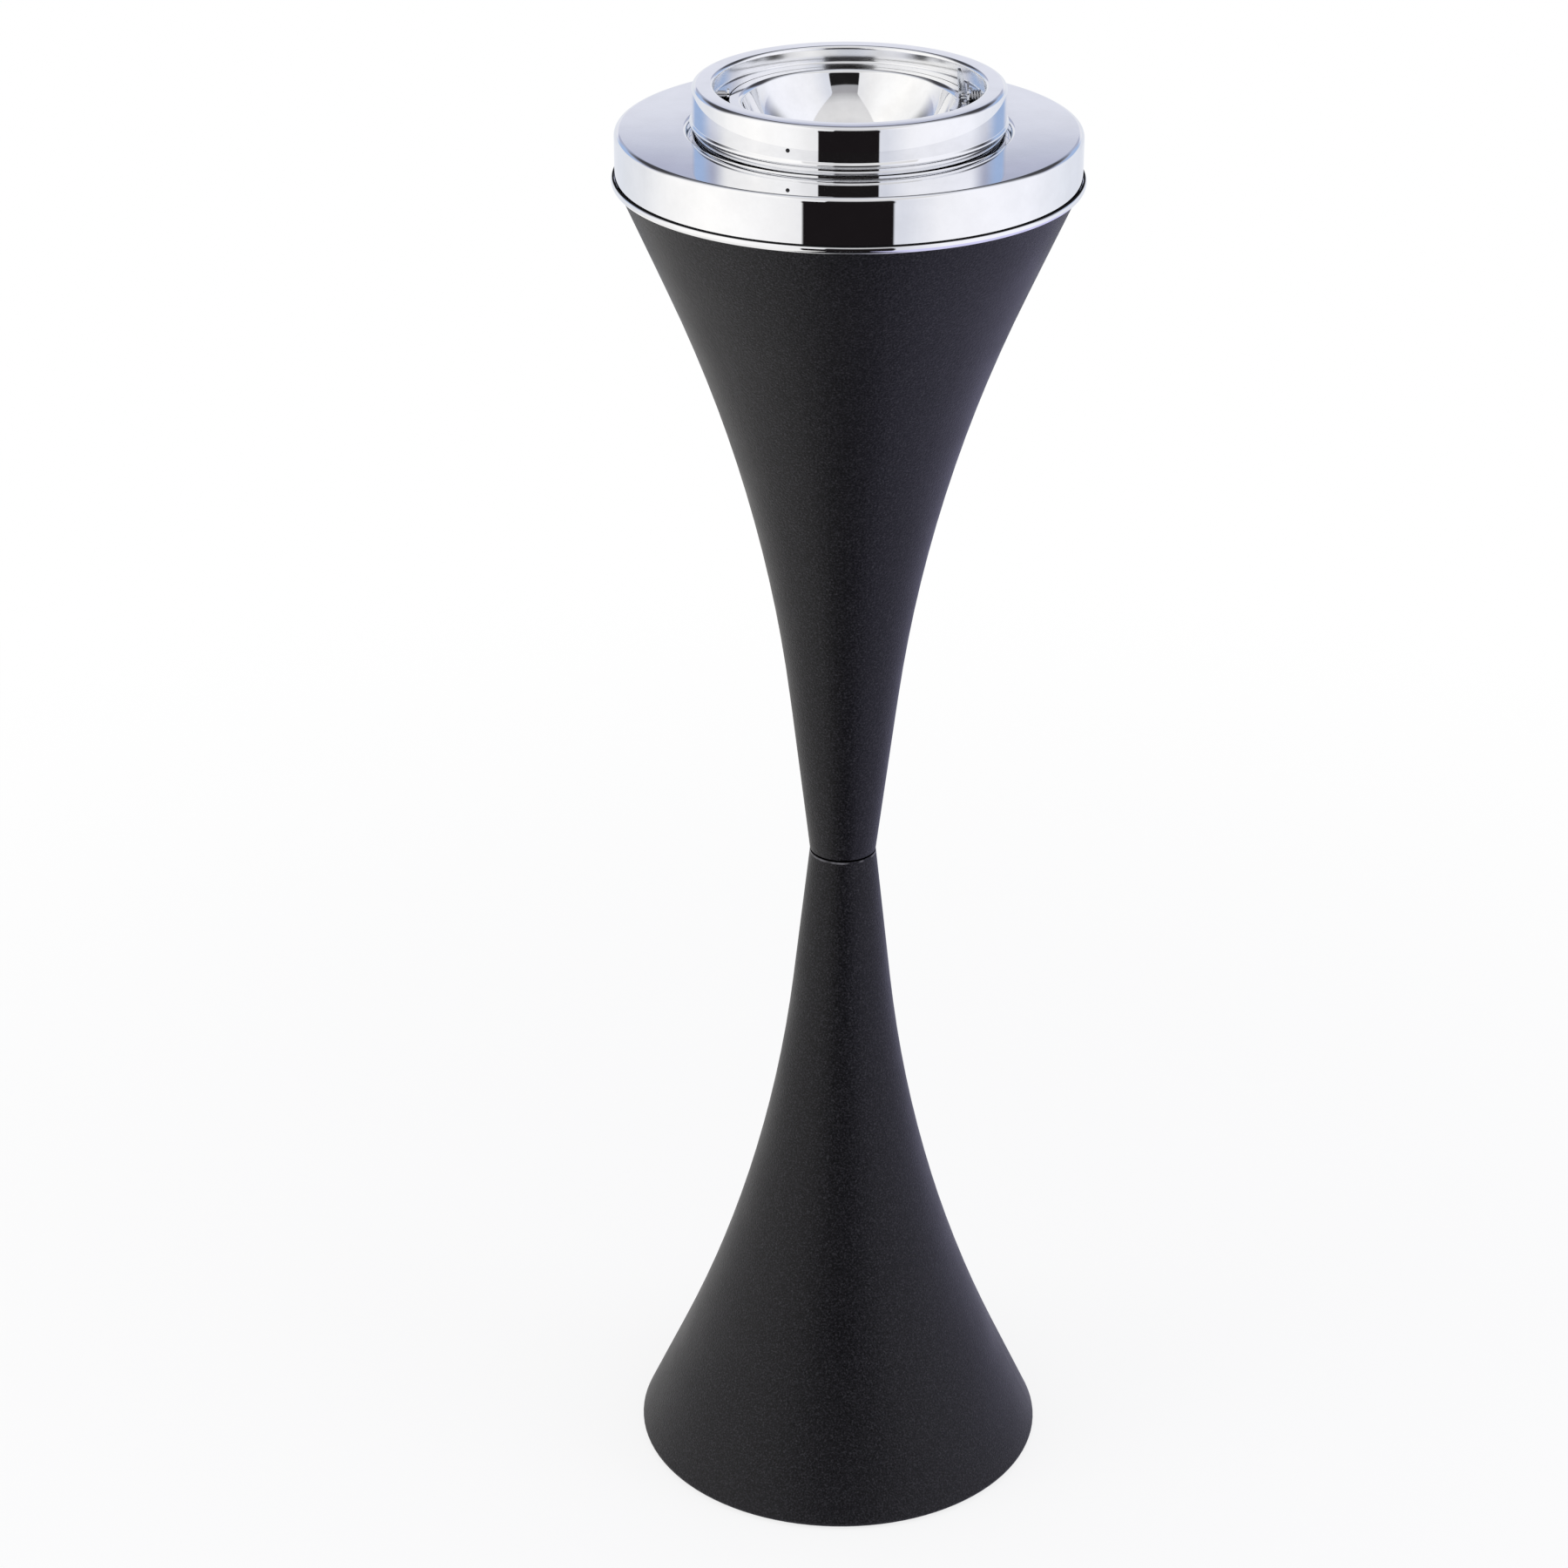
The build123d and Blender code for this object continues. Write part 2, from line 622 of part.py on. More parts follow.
with BuildPart() as stop_rivet:
    with BuildSketch(stop_plane.offset(stop_head_r)):
        Circle(STOP_RIVET_R)
    extrude(amount=COLLAR_R + STOP_RIVET_PROUD - stop_head_r)
    with BuildSketch(stop_plane.offset(stop_head_r)):
        Circle(STOP_RIVET_HEAD_R)
    extrude(amount=-STOP_RIVET_HEAD_T)
write(stop_rivet.part, "stop_rivet")

# ---- bowl ----
rivet_x = BRIM_R - RIVET_INSET
strip_in_x = BRIM_R - STRIP_WIDTH
strip_edge_r = BRIM_R - STRIP_INSET

with BuildPart() as bowl:
    with BuildSketch(Plane.XZ):
        with BuildLine() as dish:
            Line((BRIM_R, BRIM_Z), (BOWL_R, BRIM_Z))
            ThreePointArc(
                (BOWL_R, BRIM_Z),
                (
                    BOWL_SPHERE_R * sin(BOWL_MIDWAY),
                    BOWL_CENTRE_Z - BOWL_SPHERE_R * cos(BOWL_MIDWAY),
                ),
                (0, BRIM_Z - BOWL_DEPTH),
            )
            fillet(dish.vertices().sort_by(Axis.X)[1], BOWL_LIP)
            offset(amount=BOWL_WALL, side=Side.LEFT)
        make_face()
    revolve(axis=Axis.Z)
    with BuildSketch(Plane.XY.offset(BRIM_Z + BOWL_WALL)):
        with Locations((rivet_x, RIVET_BACK), (rivet_x, -RIVET_FRONT)):
            Circle(RIVET_R + THREAD_GAP)
    extrude(amount=-3 * BOWL_WALL, mode=Mode.SUBTRACT)
write(bowl.part, "bowl")

with BuildPart() as left_ear:
    with BuildSketch(Plane.YZ.offset(-small_ear_x)):
        with Locations((0, AXIS_Z)):
            Circle(SMALL_EAR_R)
        with Locations((0, BRIM_UNDER_Z - STRIP_T)):
            Rectangle(
                2 * SMALL_EAR_NECK,
                AXIS_Z - BRIM_UNDER_Z + STRIP_T,
                align=(Align.CENTER, Align.MIN),
            )
        with Locations((0, AXIS_Z)):
            Circle(PIN_R + RUNNING_GAP, mode=Mode.SUBTRACT)
    extrude(amount=-EAR_T)
    with BuildSketch(Plane.XY.offset(BRIM_UNDER_Z)):
        with Locations((-small_ear_x - EAR_T, 0)):
            Rectangle(SMALL_EAR_FOOT, 2 * SMALL_EAR_NECK, align=(Align.MIN, Align.CENTER))
    extrude(amount=-STRIP_T)
write(left_ear.part, "left_ear")

blade_mid_x = strip_in_x + BLADE_BASE / 2

with BuildPart() as thumb_lever:
    with BuildSketch(Plane.XY.offset(BRIM_Z)):
        with Locations((strip_in_x, -STRIP_FRONT)):
            Rectangle(BRIM_R, STRIP_FRONT + STRIP_BACK, align=(Align.MIN, Align.MIN))
        Circle(strip_edge_r, mode=Mode.INTERSECT)
        with Locations((rivet_x, RIVET_BACK), (rivet_x, -RIVET_FRONT)):
            Circle(RIVET_R + THREAD_GAP, mode=Mode.SUBTRACT)
    extrude(amount=STRIP_T)
    with BuildSketch(Plane.YZ.offset(ear_x)):
        with BuildLine():
            FilletPolyline(
                (-EAR_HALF, BRIM_Z),
                (-EAR_HALF, AXIS_Z + EAR_UP),
                (EAR_HALF, AXIS_Z + EAR_UP),
                (EAR_HALF, BRIM_Z),
                radius=EAR_CORNER,
            )
            Line((EAR_HALF, BRIM_Z), (-EAR_HALF, BRIM_Z))
        make_face()
    extrude(amount=EAR_T)
    with BuildSketch(Plane.YZ.offset(ear_x)):
        with Locations((0, AXIS_Z)):
            Circle(PIN_R + RUNNING_GAP)
    extrude(amount=EAR_T, mode=Mode.SUBTRACT)
    with BuildSketch(Plane.XZ.offset(-STRIP_BACK)):
        with BuildLine():
            FilletPolyline(
                (blade_mid_x - BLADE_BASE / 2, BRIM_Z),
                (blade_mid_x - BLADE_TIP / 2, BRIM_Z + BLADE_H),
                (blade_mid_x + BLADE_TIP / 2, BRIM_Z + BLADE_H),
                (blade_mid_x + BLADE_BASE / 2, BRIM_Z),
                radius=BLADE_TIP / 3,
            )
            Line(
                (blade_mid_x + BLADE_BASE / 2, BRIM_Z),
                (blade_mid_x - BLADE_BASE / 2, BRIM_Z),
            )
        make_face()
    extrude(amount=STRIP_T)
write(thumb_lever.part, "thumb_lever")

with BuildPart() as ear_rivets:
    with BuildSketch(Plane.XY.offset(BRIM_UNDER_Z)):
        with Locations((rivet_x, RIVET_BACK), (rivet_x, -RIVET_FRONT)):
            Circle(RIVET_R)
    extrude(amount=BOWL_WALL + STRIP_T)
    with BuildSketch(Plane.XY.offset(BRIM_UNDER_Z)):
        with Locations((rivet_x, RIVET_BACK), (rivet_x, -RIVET_FRONT)):
            Circle(RIVET_HEAD_R)
    extrude(amount=-RIVET_HEAD_T)
    with BuildSketch(Plane.XY.offset(BRIM_Z + STRIP_T)):
        with Locations((rivet_x, RIVET_BACK), (rivet_x, -RIVET_FRONT)):
            Circle(RIVET_HEAD_R)
    extrude(amount=RIVET_HEAD_T)
    rivet_ends = ear_rivets.edges().filter_by(GeomType.CIRCLE).group_by(Axis.Z)
    fillet(rivet_ends[0] + rivet_ends[-1], RIVET_HEAD_T * 0.8)
write(ear_rivets.part, "ear_rivets")

hook_y = EAR_HALF + WIRE_R + RUNNING_GAP
hook_x = EAR_OUT_X - EAR_T / 2

with BuildPart() as spring_hook:
    with BuildLine() as hook:
        FilletPolyline(
            (coil_x, HOOK_START, wire_top_z),
            (coil_x, hook_y, wire_top_z),
            (hook_x, hook_y, wire_top_z),
            (hook_x, hook_y, wire_top_z + HOOK_RISE),
            radius=(HOOK_BEND, HOOK_BEND / 2),
        )
    with BuildSketch(Plane(origin=hook.line @ 0, z_dir=hook.line % 0)):
        Circle(WIRE_R)
    sweep(transition=Transition.ROUND)
write(spring_hook.part, "spring_hook")
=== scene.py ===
"""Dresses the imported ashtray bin, adds the formed pieces and lights it in a small white studio."""

import logging
import math
from collections.abc import Callable, Iterator, Sequence
from contextlib import contextmanager
from dataclasses import dataclass
from enum import Enum, auto
from typing import ClassVar

import bpy
from mathutils import Euler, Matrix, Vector


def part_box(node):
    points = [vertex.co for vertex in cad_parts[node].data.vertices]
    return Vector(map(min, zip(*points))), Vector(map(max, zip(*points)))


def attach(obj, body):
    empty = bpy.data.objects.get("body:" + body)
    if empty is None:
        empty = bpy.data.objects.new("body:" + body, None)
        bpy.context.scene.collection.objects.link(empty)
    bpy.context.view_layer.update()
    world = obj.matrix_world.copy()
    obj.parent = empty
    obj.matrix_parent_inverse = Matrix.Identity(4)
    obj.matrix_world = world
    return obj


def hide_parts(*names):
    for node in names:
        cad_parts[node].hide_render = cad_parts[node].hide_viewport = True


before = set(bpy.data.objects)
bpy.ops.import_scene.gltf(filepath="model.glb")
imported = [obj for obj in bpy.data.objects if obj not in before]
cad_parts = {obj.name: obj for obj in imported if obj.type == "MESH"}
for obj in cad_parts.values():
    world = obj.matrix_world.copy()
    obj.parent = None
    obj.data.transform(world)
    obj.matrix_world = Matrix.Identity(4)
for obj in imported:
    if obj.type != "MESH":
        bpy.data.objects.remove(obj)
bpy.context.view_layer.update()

log = logging.getLogger("ashtray_bin")

Colour = tuple[float, float, float]
Place = tuple[float, float, float]
Span = tuple[float, float]
Stops = Sequence[tuple[float, Colour]]
Socket = bpy.types.NodeSocket
Material = bpy.types.Material
Piece = bpy.types.Object
Value = float | Socket

BLACK: Colour = (0.0, 0.0, 0.0)
WHITE: Colour = (1.0, 1.0, 1.0)
DOUBLES = 1e-6  # metres within which two points are one
NEAR = 1e-5  # metres within which a point lies on a ring or a level


def rgba(colour: Colour) -> tuple[float, float, float, float]:
    """Colour with full opacity."""
    return (*colour, 1.0)


def scaled(colour: Colour, by: float) -> Colour:
    """Colour made darker or paler, 1 at most."""
    return tuple(min(1.0, part * by) for part in colour)


# ---- node helpers


class Graph:
    """A node tree with short calls for the nodes that the finishes and the studio share."""

    def __init__(self, tree: bpy.types.NodeTree) -> None:
        """Keeps a node tree."""
        self.nodes, self.links = tree.nodes, tree.links

    def put(self, value: object, target: Socket) -> None:
        """Sets an input.

        Args:
            value: a number, a colour, a vector or a socket.
            target: the input.
        """
        if isinstance(value, Socket):
            self.links.new(value, target)
        else:
            target.default_value = rgba(value) if target.type == "RGBA" else value

    def add(
        self, kind: str, out: str | int, inputs: dict[str | int, object], **traits: object
    ) -> Socket:
        """Adds a node.

        Args:
            kind: the node's type, without the prefix.
            out: the output that is wanted.
            inputs: inputs to their values.
            traits: the node's own settings.

        Returns:
            The output.
        """
        node = self.nodes.new("ShaderNode" + kind)
        for key, value in traits.items():
            setattr(node, key, value)
        for key, value in inputs.items():
            self.put(value, node.inputs[key])
        return node.outputs[out]

    def end(self, kind: str, surface: Socket) -> None:
        """Links a surface to a new Material or World output."""
        self.links.new(surface, self.nodes.new("ShaderNodeOutput" + kind).inputs["Surface"])

    def apart(self, vector: Socket) -> Sequence[Socket]:
        """X, Y and Z of a vector."""
        return self.add("SeparateXYZ", "X", {"Vector": vector}).node.outputs

    def length(self, vector: Socket) -> Socket:
        """Length of a vector."""
        return self.add("VectorMath", "Value", {0: vector}, operation="LENGTH")

    def rays(self, kind: str) -> Socket:
        """1 for rays of a kind, Camera or Glossy, and 0 for the others."""
        return self.add("LightPath", f"Is {kind} Ray", {})

    def maths(self, operation: str, first: Value, second: Value = 0, third: Value = 0) -> Socket:
        """One sum.

        Args:
            operation: the Math node's operation.
            first, second, third: the values.

        Returns:
            The result.
        """
        return self.add("Math", "Value", {0: first, 1: second, 2: third}, operation=operation)

    def times(self, first: Value, second: Value) -> Socket:
        """Product of two values."""
        return self.maths("MULTIPLY", first, second)

    def spread(
        self, value: Socket, low: float, high: float, start: float = 0.3, end: float = 0.7,
        way: str = "LINEAR",
    ) -> Socket:
        """Maps a value to a range and keeps it there.

        Args:
            value: the value.
            low, high: results at the start and at the end.
            start, end: values that give them.
            way: the Map Range node's interpolation.

        Returns:
            The mapped value.
        """
        inputs = {"Value": value, "From Min": start, "From Max": end, "To Min": low, "To Max": high}
        return self.add("MapRange", "Result", inputs, interpolation_type=way)

    def step(self, value: Socket, start: float, end: float) -> Socket:
        """Soft step from 0 at the start to 1 at the end, which may lie below the start.

        Args:
            value: the value.
            start, end: where the step begins and where it is complete.

        Returns:
            The step.
        """
        if start < end:
            return self.spread(value, 0.0, 1.0, start, end, "SMOOTHSTEP")
        return self.spread(value, 1.0, 0.0, end, start, "SMOOTHSTEP")

    def band(self, value: Socket, middle: float, half: float, soft: float) -> Socket:
        """1 inside a band and 0 outside it.

        Args:
            value: the value.
            middle, half, soft: the band's middle, half width and soft edge.

        Returns:
            The band.
        """
        away = self.maths("ABSOLUTE", self.maths("SUBTRACT", value, middle))
        return self.spread(away, 1.0, 0.0, half, half + soft)

    def ramp(self, value: Socket, stops: Stops) -> Socket:
        """Colour along a ramp.

        Args:
            value: place along the ramp, 0 to 1.
            stops: places and their colours, in order.

        Returns:
            The colour.
        """
        colour = self.add("ValToRGB", "Color", {"Fac": value})
        marks = colour.node.color_ramp.elements
        for mark, (at, tone) in zip(marks, (stops[0], stops[-1])):
            mark.position, mark.color = at, rgba(tone)
        for at, tone in stops[1:-1]:
            marks.new(at).color = rgba(tone)
        return colour

    def mix(self, factor: Socket, first: Socket | Colour, second: Socket | Colour) -> Socket:
        """Mixes two colours.

        Args:
            factor: share of the second.
            first: the first colour.
            second: the second colour.

        Returns:
            The mixed colour.
        """
        first_input, second_input, result = 6, 7, 2
        inputs = {"Factor": factor, first_input: first, second_input: second}
        return self.add("Mix", result, inputs, data_type="RGBA", clamp_factor=True)


class Shader(Graph):
    """A material's node tree, on the piece's own coordinates."""

    def __init__(self, name: str) -> None:
        """Starts a material of a name."""
        self.material = bpy.data.materials.new(name)
        self.material.use_nodes = True
        super().__init__(self.material.node_tree)
        self.surface = next(n for n in self.nodes if n.type == "BSDF_PRINCIPLED")
        self.place = self.add("TexCoord", "Object", {})

    def mapped(self, scale: Place) -> Socket:
        """Object coordinates stretched by factors along X, Y and Z."""
        return self.add("Mapping", "Vector", {"Vector": self.place, "Scale": scale})

    def noise(
        self, scale: float, detail: float = 3.0, rough: float = 0.5, vector: Socket | None = None
    ) -> Socket:
        """Noise on the piece's own coordinates.

        Args:
            scale: features per metre.
            detail: octaves.
            rough: weight of the finer octaves.
            vector: coordinates other than the plain ones.

        Returns:
            The noise factor.
        """
        inputs = {"Vector": vector or self.place, "Scale": scale, "Detail": detail}
        return self.add("TexNoise", "Fac", inputs | {"Roughness": rough})

    def lines(self, scale: Place) -> Socket:
        """Noise drawn out into lines by factors along X, Y and Z."""
        return self.noise(1.0, 2.0, 0.5, self.mapped(scale))

    def cells(self, scale: float) -> Socket:
        """Distance to the nearest of so many cell points per metre."""
        return self.add("TexVoronoi", "Distance", {"Vector": self.place, "Scale": scale})

    def radius(self) -> Socket:
        """Distance from the object's upright axis."""
        return self.length(self.mapped((1.0, 1.0, 0.0)))

    def height(self) -> Socket:
        """Height above the floor."""
        return self.apart(self.place)[2]

    def bump(
        self, height: Socket, depth: float, strength: float = 1.0, under: Socket | None = None
    ) -> Socket:
        """Bump from a height.

        Args:
            height: the height, nominally 0 to 1.
            depth: what a height of 1 stands for, in metres.
            strength: how much of it shows.
            under: a bump that this one lies on.

        Returns:
            The normal.
        """
        inputs = {"Height": height, "Distance": depth, "Strength": strength}
        if under is not None:
            inputs["Normal"] = under
        return self.add("Bump", "Normal", inputs)

    def give(self, **sockets: object) -> Material:
        """Sets the surface's inputs.

        Args:
            sockets: input names, with underscores for spaces, to numbers, colours or sockets.

        Returns:
            The material.
        """
        for key, value in sockets.items():
            self.put(value, self.surface.inputs[key.replace("_", " ")])
        return self.material


# ---- finishes


@dataclass(frozen=True)
class PowderCoat:
    """Matt black powder coat: a pebbled skin, paler specks, a black band of painted shade where the
    two necks meet and, under it, a paler edge that is partly wear and partly painted highlight.

    Attributes:
        joint, rub_highlight: height, half width and soft edge of the band of painted shade
        where the necks meet and of the paler edge under it, partly wear and partly painted
        highlight.
    """

    name: str = "black_powder_coat"
    tones: Stops = (
        (0.38, (0.0010, 0.0009, 0.0016)),
        (0.50, (0.0056, 0.0052, 0.0074)),
        (0.61, (0.0160, 0.0153, 0.0190)),
        (0.70, (0.030, 0.029, 0.034)),
    )
    rough: Span = (0.40, 0.47)
    grains: float = 1250.0
    cells: float = 950.0
    clouds: float = 28.0
    grain_depth: float = 0.00009
    shine: float = 0.25
    joint: Place = (0.3225, 0.00042, 0.00012)
    rub_highlight: Place = (0.3214, 0.0002, 0.0004)
    patches: float = 160.0
    rub_and_highlight_tone: Colour = (0.150, 0.147, 0.162)

    def build(self) -> Material:
        """Builds the material.

        Returns:
            The material.
        """
        s = Shader(self.name)
        fine = s.noise(self.grains, 2.0, 0.6)
        height = s.height()
        # paler patchy edge under the joint: partly wear, partly a painted highlight of the lower
        # shell's rounded lip
        patches = s.spread(s.noise(self.patches), 0.0, 1.0, 0.44, 0.62)
        rub_highlight = s.times(s.band(height, *self.rub_highlight), patches)
        body = s.mix(rub_highlight, s.ramp(fine, self.tones), self.rub_and_highlight_tone)
        # painted shade: a black, unreflecting band where the two necks meet stands for the shade in
        # the groove between them
        joint = s.band(height, *self.joint)
        pebbles = s.spread(s.cells(self.cells), 1.0, 0.0, 0.1, 0.75)
        return s.give(
            Base_Color=s.mix(joint, body, BLACK),
            Roughness=s.spread(s.noise(self.clouds), *self.rough),
            Specular_IOR_Level=s.spread(joint, self.shine, 0.0),
            Normal=s.bump(s.maths("ADD", pebbles, fine), self.grain_depth, 0.8),
        )


@dataclass(frozen=True)
class Chrome:
    """Bright plate over formed sheet: faint draw streaks, a soft waviness and a film of handling.

    Attributes:
        satin_from, satin_at: radii where the satin begins, going inwards, and is full; 0 for none.
        satin: its roughness.
        skirt_gap_shade_radius: radius of the outer edge of a band of painted shade that stands for
            the shade in the gap under the cover's skirt; 0 for none.
        skirt_gap_shade_height: height above which that painted shade lies.
    """

    name: str = "bright_chrome"
    colour: Colour = (0.895, 0.90, 0.915)
    streaks: Place = (900.0, 900.0, 12.0)
    streak: float = 0.0000010
    wave: float = 0.000010
    dim: float = 0.94
    rough: Span = (0.012, 0.035)
    satin_from: float = 0.0
    satin_at: float = 0.0
    satin: float = 0.15
    skirt_gap_shade_radius: float = 0.0
    skirt_gap_shade_height: float = 0.0
    skirt_gap_shade_soft: float = 0.0001
    skirt_gap_shade: Colour = (0.010, 0.010, 0.011)

    def build(self) -> Material:
        """Builds the material.

        Returns:
            The material.
        """
        s = Shader(self.name)
        s.give(Metallic=1.0)
        film = s.noise(60.0, 4.0, 0.65)
        rough = s.spread(film, *self.rough, 0.35, 0.75)
        if self.satin_from:
            inside = s.spread(s.radius(), self.satin, 0.0, self.satin_at, self.satin_from)
            rough = s.maths("MAXIMUM", rough, inside)
        plate = s.ramp(film, ((0.3, scaled(self.colour, self.dim)), (0.6, self.colour)))
        # painted shade: a black, unreflecting band on the bead's upper lip and inner face stands for
        # the shade in the gap between the cover's skirt and the bead
        if self.skirt_gap_shade_radius:
            edge, soft = self.skirt_gap_shade_radius, self.skirt_gap_shade_soft
            near = s.spread(s.radius(), 1.0, 0.0, edge - soft, edge + soft)
            over = s.spread(s.height(), 0.0, 1.0, self.skirt_gap_shade_height - soft, self.skirt_gap_shade_height)
            skirt_gap_shade = s.times(near, over)
            plate = s.mix(skirt_gap_shade, plate, self.skirt_gap_shade)
            s.give(Metallic=s.spread(skirt_gap_shade, 1.0, 0.0, 0.0, 1.0), Specular_IOR_Level=0.0)
        waves = s.bump(s.noise(26.0, 1.0), self.wave)
        streaks = s.bump(s.lines(self.streaks), self.streak, 1.0, waves)
        return s.give(Base_Color=plate, Roughness=rough, Normal=streaks)


@dataclass(frozen=True)
class SpunBowl:
    """Mirror-bright spun dish with fine turning rings, a soft waviness and a thin bloom."""

    name: str = "spun_bright_bowl"
    colour: Colour = (0.895, 0.90, 0.91)
    dim: float = 0.93
    pitch: float = 0.0007
    ring: float = 0.0000003
    wave: float = 0.000008
    rough: Span = (0.02, 0.06)

    def build(self) -> Material:
        """Builds the material.

        Returns:
            The material.
        """
        s = Shader(self.name)
        rings = s.maths("SINE", s.times(s.radius(), 2 * math.pi / self.pitch))
        film = s.noise(90.0, 4.0, 0.6)
        waves = s.bump(s.noise(30.0, 1.0), self.wave)
        return s.give(
            Base_Color=s.ramp(film, ((0.32, scaled(self.colour, self.dim)), (0.62, self.colour))),
            Metallic=1.0,
            Roughness=s.spread(film, *self.rough, 0.35, 0.75),
            Normal=s.bump(rings, self.ring, 1.0, waves),
        )


@dataclass(frozen=True)
class BareSteel:
    """Turned, drawn or plated steel of the small parts."""

    name: str
    colour: Colour
    rough: float
    lines: Place = (700.0, 700.0, 700.0)
    line_depth: float = 0.000004
    dim: float = 0.78
    clouds: float = 220.0

    def build(self) -> Material:
        """Builds the material.

        Returns:
            The material.
        """
        s = Shader(self.name)
        cloud = s.noise(self.clouds)
        return s.give(
            Base_Color=s.ramp(cloud, ((0.3, scaled(self.colour, self.dim)), (0.65, self.colour))),
            Metallic=1.0,
            Roughness=s.spread(cloud, self.rough * 0.8, self.rough * 1.25),
            Normal=s.bump(s.lines(self.lines), self.line_depth, 0.7),
        )


@dataclass(frozen=True)
class Galvanised:
    """Zinc spangle over thin sheet, under a patchy grey film."""

    name: str = "zinc_spangle_sheet"
    colour: Colour = (0.50, 0.52, 0.54)
    dim: float = 0.62
    pale: float = 1.2
    spangles: float = 140.0
    rough: Span = (0.30, 0.52)

    def build(self) -> Material:
        """Builds the material.

        Returns:
            The material.
        """
        s = Shader(self.name)
        spangle = s.cells(self.spangles)
        film = s.noise(35.0, 5.0, 0.6)
        mixed = s.maths("ADD", s.times(spangle, 0.6), s.times(film, 0.5))
        dark, pale = scaled(self.colour, self.dim), scaled(self.colour, self.pale)
        return s.give(
            Base_Color=s.ramp(mixed, ((0.2, dark), (0.5, self.colour), (0.8, pale))),
            Metallic=1.0,
            Roughness=s.spread(film, *self.rough),
            Normal=s.bump(spangle, 0.00001, 0.5),
        )


@dataclass(frozen=True)
class CastMetal:
    """Sand-cast skin with a coarse grain and rubbed high spots."""

    name: str
    colour: Colour
    rough: float
    metallic: float = 0.6
    grain: float = 520.0
    grain_depth: float = 0.0002
    dim: float = 0.6
    pale: float = 1.5

    def build(self) -> Material:
        """Builds the material.

        Returns:
            The material.
        """
        s = Shader(self.name)
        skin = s.noise(self.grain, 4.0, 0.6)
        dark, pale = scaled(self.colour, self.dim), scaled(self.colour, self.pale)
        return s.give(
            Base_Color=s.ramp(skin, ((0.3, dark), (0.55, self.colour), (0.75, pale))),
            Metallic=self.metallic,
            Roughness=s.spread(s.noise(40.0), self.rough, self.rough + 0.15),
            Normal=s.bump(skin, self.grain_depth, 0.6),
        )


@dataclass(frozen=True)
class FootRubber:
    """Moulded rubber with grey scuffs."""

    name: str = "foot_rubber"
    colour: Colour = (0.018, 0.018, 0.019)
    scuffed: Colour = (0.075, 0.073, 0.070)
    scuffs: float = 260.0
    pores: float = 1500.0
    pore_depth: float = 0.00005

    def build(self) -> Material:
        """Builds the material.

        Returns:
            The material.
        """
        s = Shader(self.name)
        scuff = s.noise(self.scuffs, 4.0, 0.65)
        return s.give(
            Base_Color=s.ramp(scuff, ((0.45, self.colour), (0.78, self.scuffed))),
            Roughness=s.spread(scuff, 0.62, 0.85),
            Specular_IOR_Level=0.35,
            Normal=s.bump(s.noise(self.pores, 2.0), self.pore_depth, 0.6),
        )


class Coat(Enum):
    """The finishes that the bin's pieces wear."""

    POWDER = auto()
    CHROME = auto()
    COLLAR = auto()
    RIM = auto()
    BOWL = auto()
    PIN = auto()
    LEVER = auto()
    RIVET = auto()
    WIRE = auto()
    ZINC = auto()
    GALVANISED = auto()
    ALUMINIUM = auto()
    IRON = auto()
    RUBBER = auto()


class Palette:
    """Builds each finish once and hands it out."""

    def __init__(self) -> None:
        """Lists the finishes."""
        drawn, plated = (300.0, 2500.0, 2500.0), (500.0, 500.0, 900.0)
        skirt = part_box("cover")[0].z
        self.recipes = {
            Coat.POWDER: PowderCoat(),
            Coat.CHROME: Chrome(),
            Coat.COLLAR: Chrome("collar_chrome", satin_from=0.0606, satin_at=0.0593),
            # the rim ring's chrome carries a band of painted shade in the gap under the cover's
            # skirt
            Coat.RIM: Chrome(
                "rim_chrome", skirt_gap_shade_radius=0.1036, skirt_gap_shade_height=skirt + 0.0002
            ),
            Coat.BOWL: SpunBowl(),
            Coat.PIN: BareSteel("turned_pin_steel", (0.60, 0.60, 0.62), 0.22),
            Coat.LEVER: BareSteel("pressed_lever_steel", (0.84, 0.87, 0.93), 0.17),
            # painted shade: the stop rivet is coloured near black to stand for the shade in its
            # dimple
            Coat.RIVET: BareSteel("rivet_painted_dimple_shade", (0.035, 0.034, 0.037), 0.30),
            Coat.WIRE: BareSteel("drawn_spring_wire", (0.46, 0.47, 0.50), 0.26, drawn),
            Coat.ZINC: BareSteel("bright_zinc", (0.62, 0.64, 0.63), 0.34, plated, 0.000008),
            Coat.GALVANISED: Galvanised(),
            Coat.ALUMINIUM: CastMetal("raw_cast_aluminium", (0.56, 0.57, 0.58), 0.42, 1.0),
            Coat.IRON: CastMetal("grey_cast_iron", (0.075, 0.073, 0.072), 0.62),
            Coat.RUBBER: FootRubber(),
        }
        self.made: dict[Coat, Material] = {}

    def get(self, name: Coat) -> Material:
        """Material of a finish.

        Args:
            name: the finish.

        Returns:
            The material, built the first time.
        """
        if name not in self.made:
            self.made[name] = self.recipes[name].build()
        return self.made[name]


# ---- modelling by hand


@contextmanager
def editing() -> Iterator[None]:
    """Edit mode for the piece in hand, and object mode again."""
    bpy.ops.object.mode_set(mode="EDIT")
    yield
    bpy.ops.object.mode_set(mode="OBJECT")


def settle() -> None:
    """Applies the place, the turn and the scale of the piece in hand."""
    bpy.ops.object.transform_apply(location=True, rotation=True, scale=True)


def select_none(piece: Piece) -> None:
    """Selects nothing in a piece that is out of edit mode."""
    for parts in (piece.data.polygons, piece.data.edges, piece.data.vertices):
        parts.foreach_set("select", [False] * len(parts))


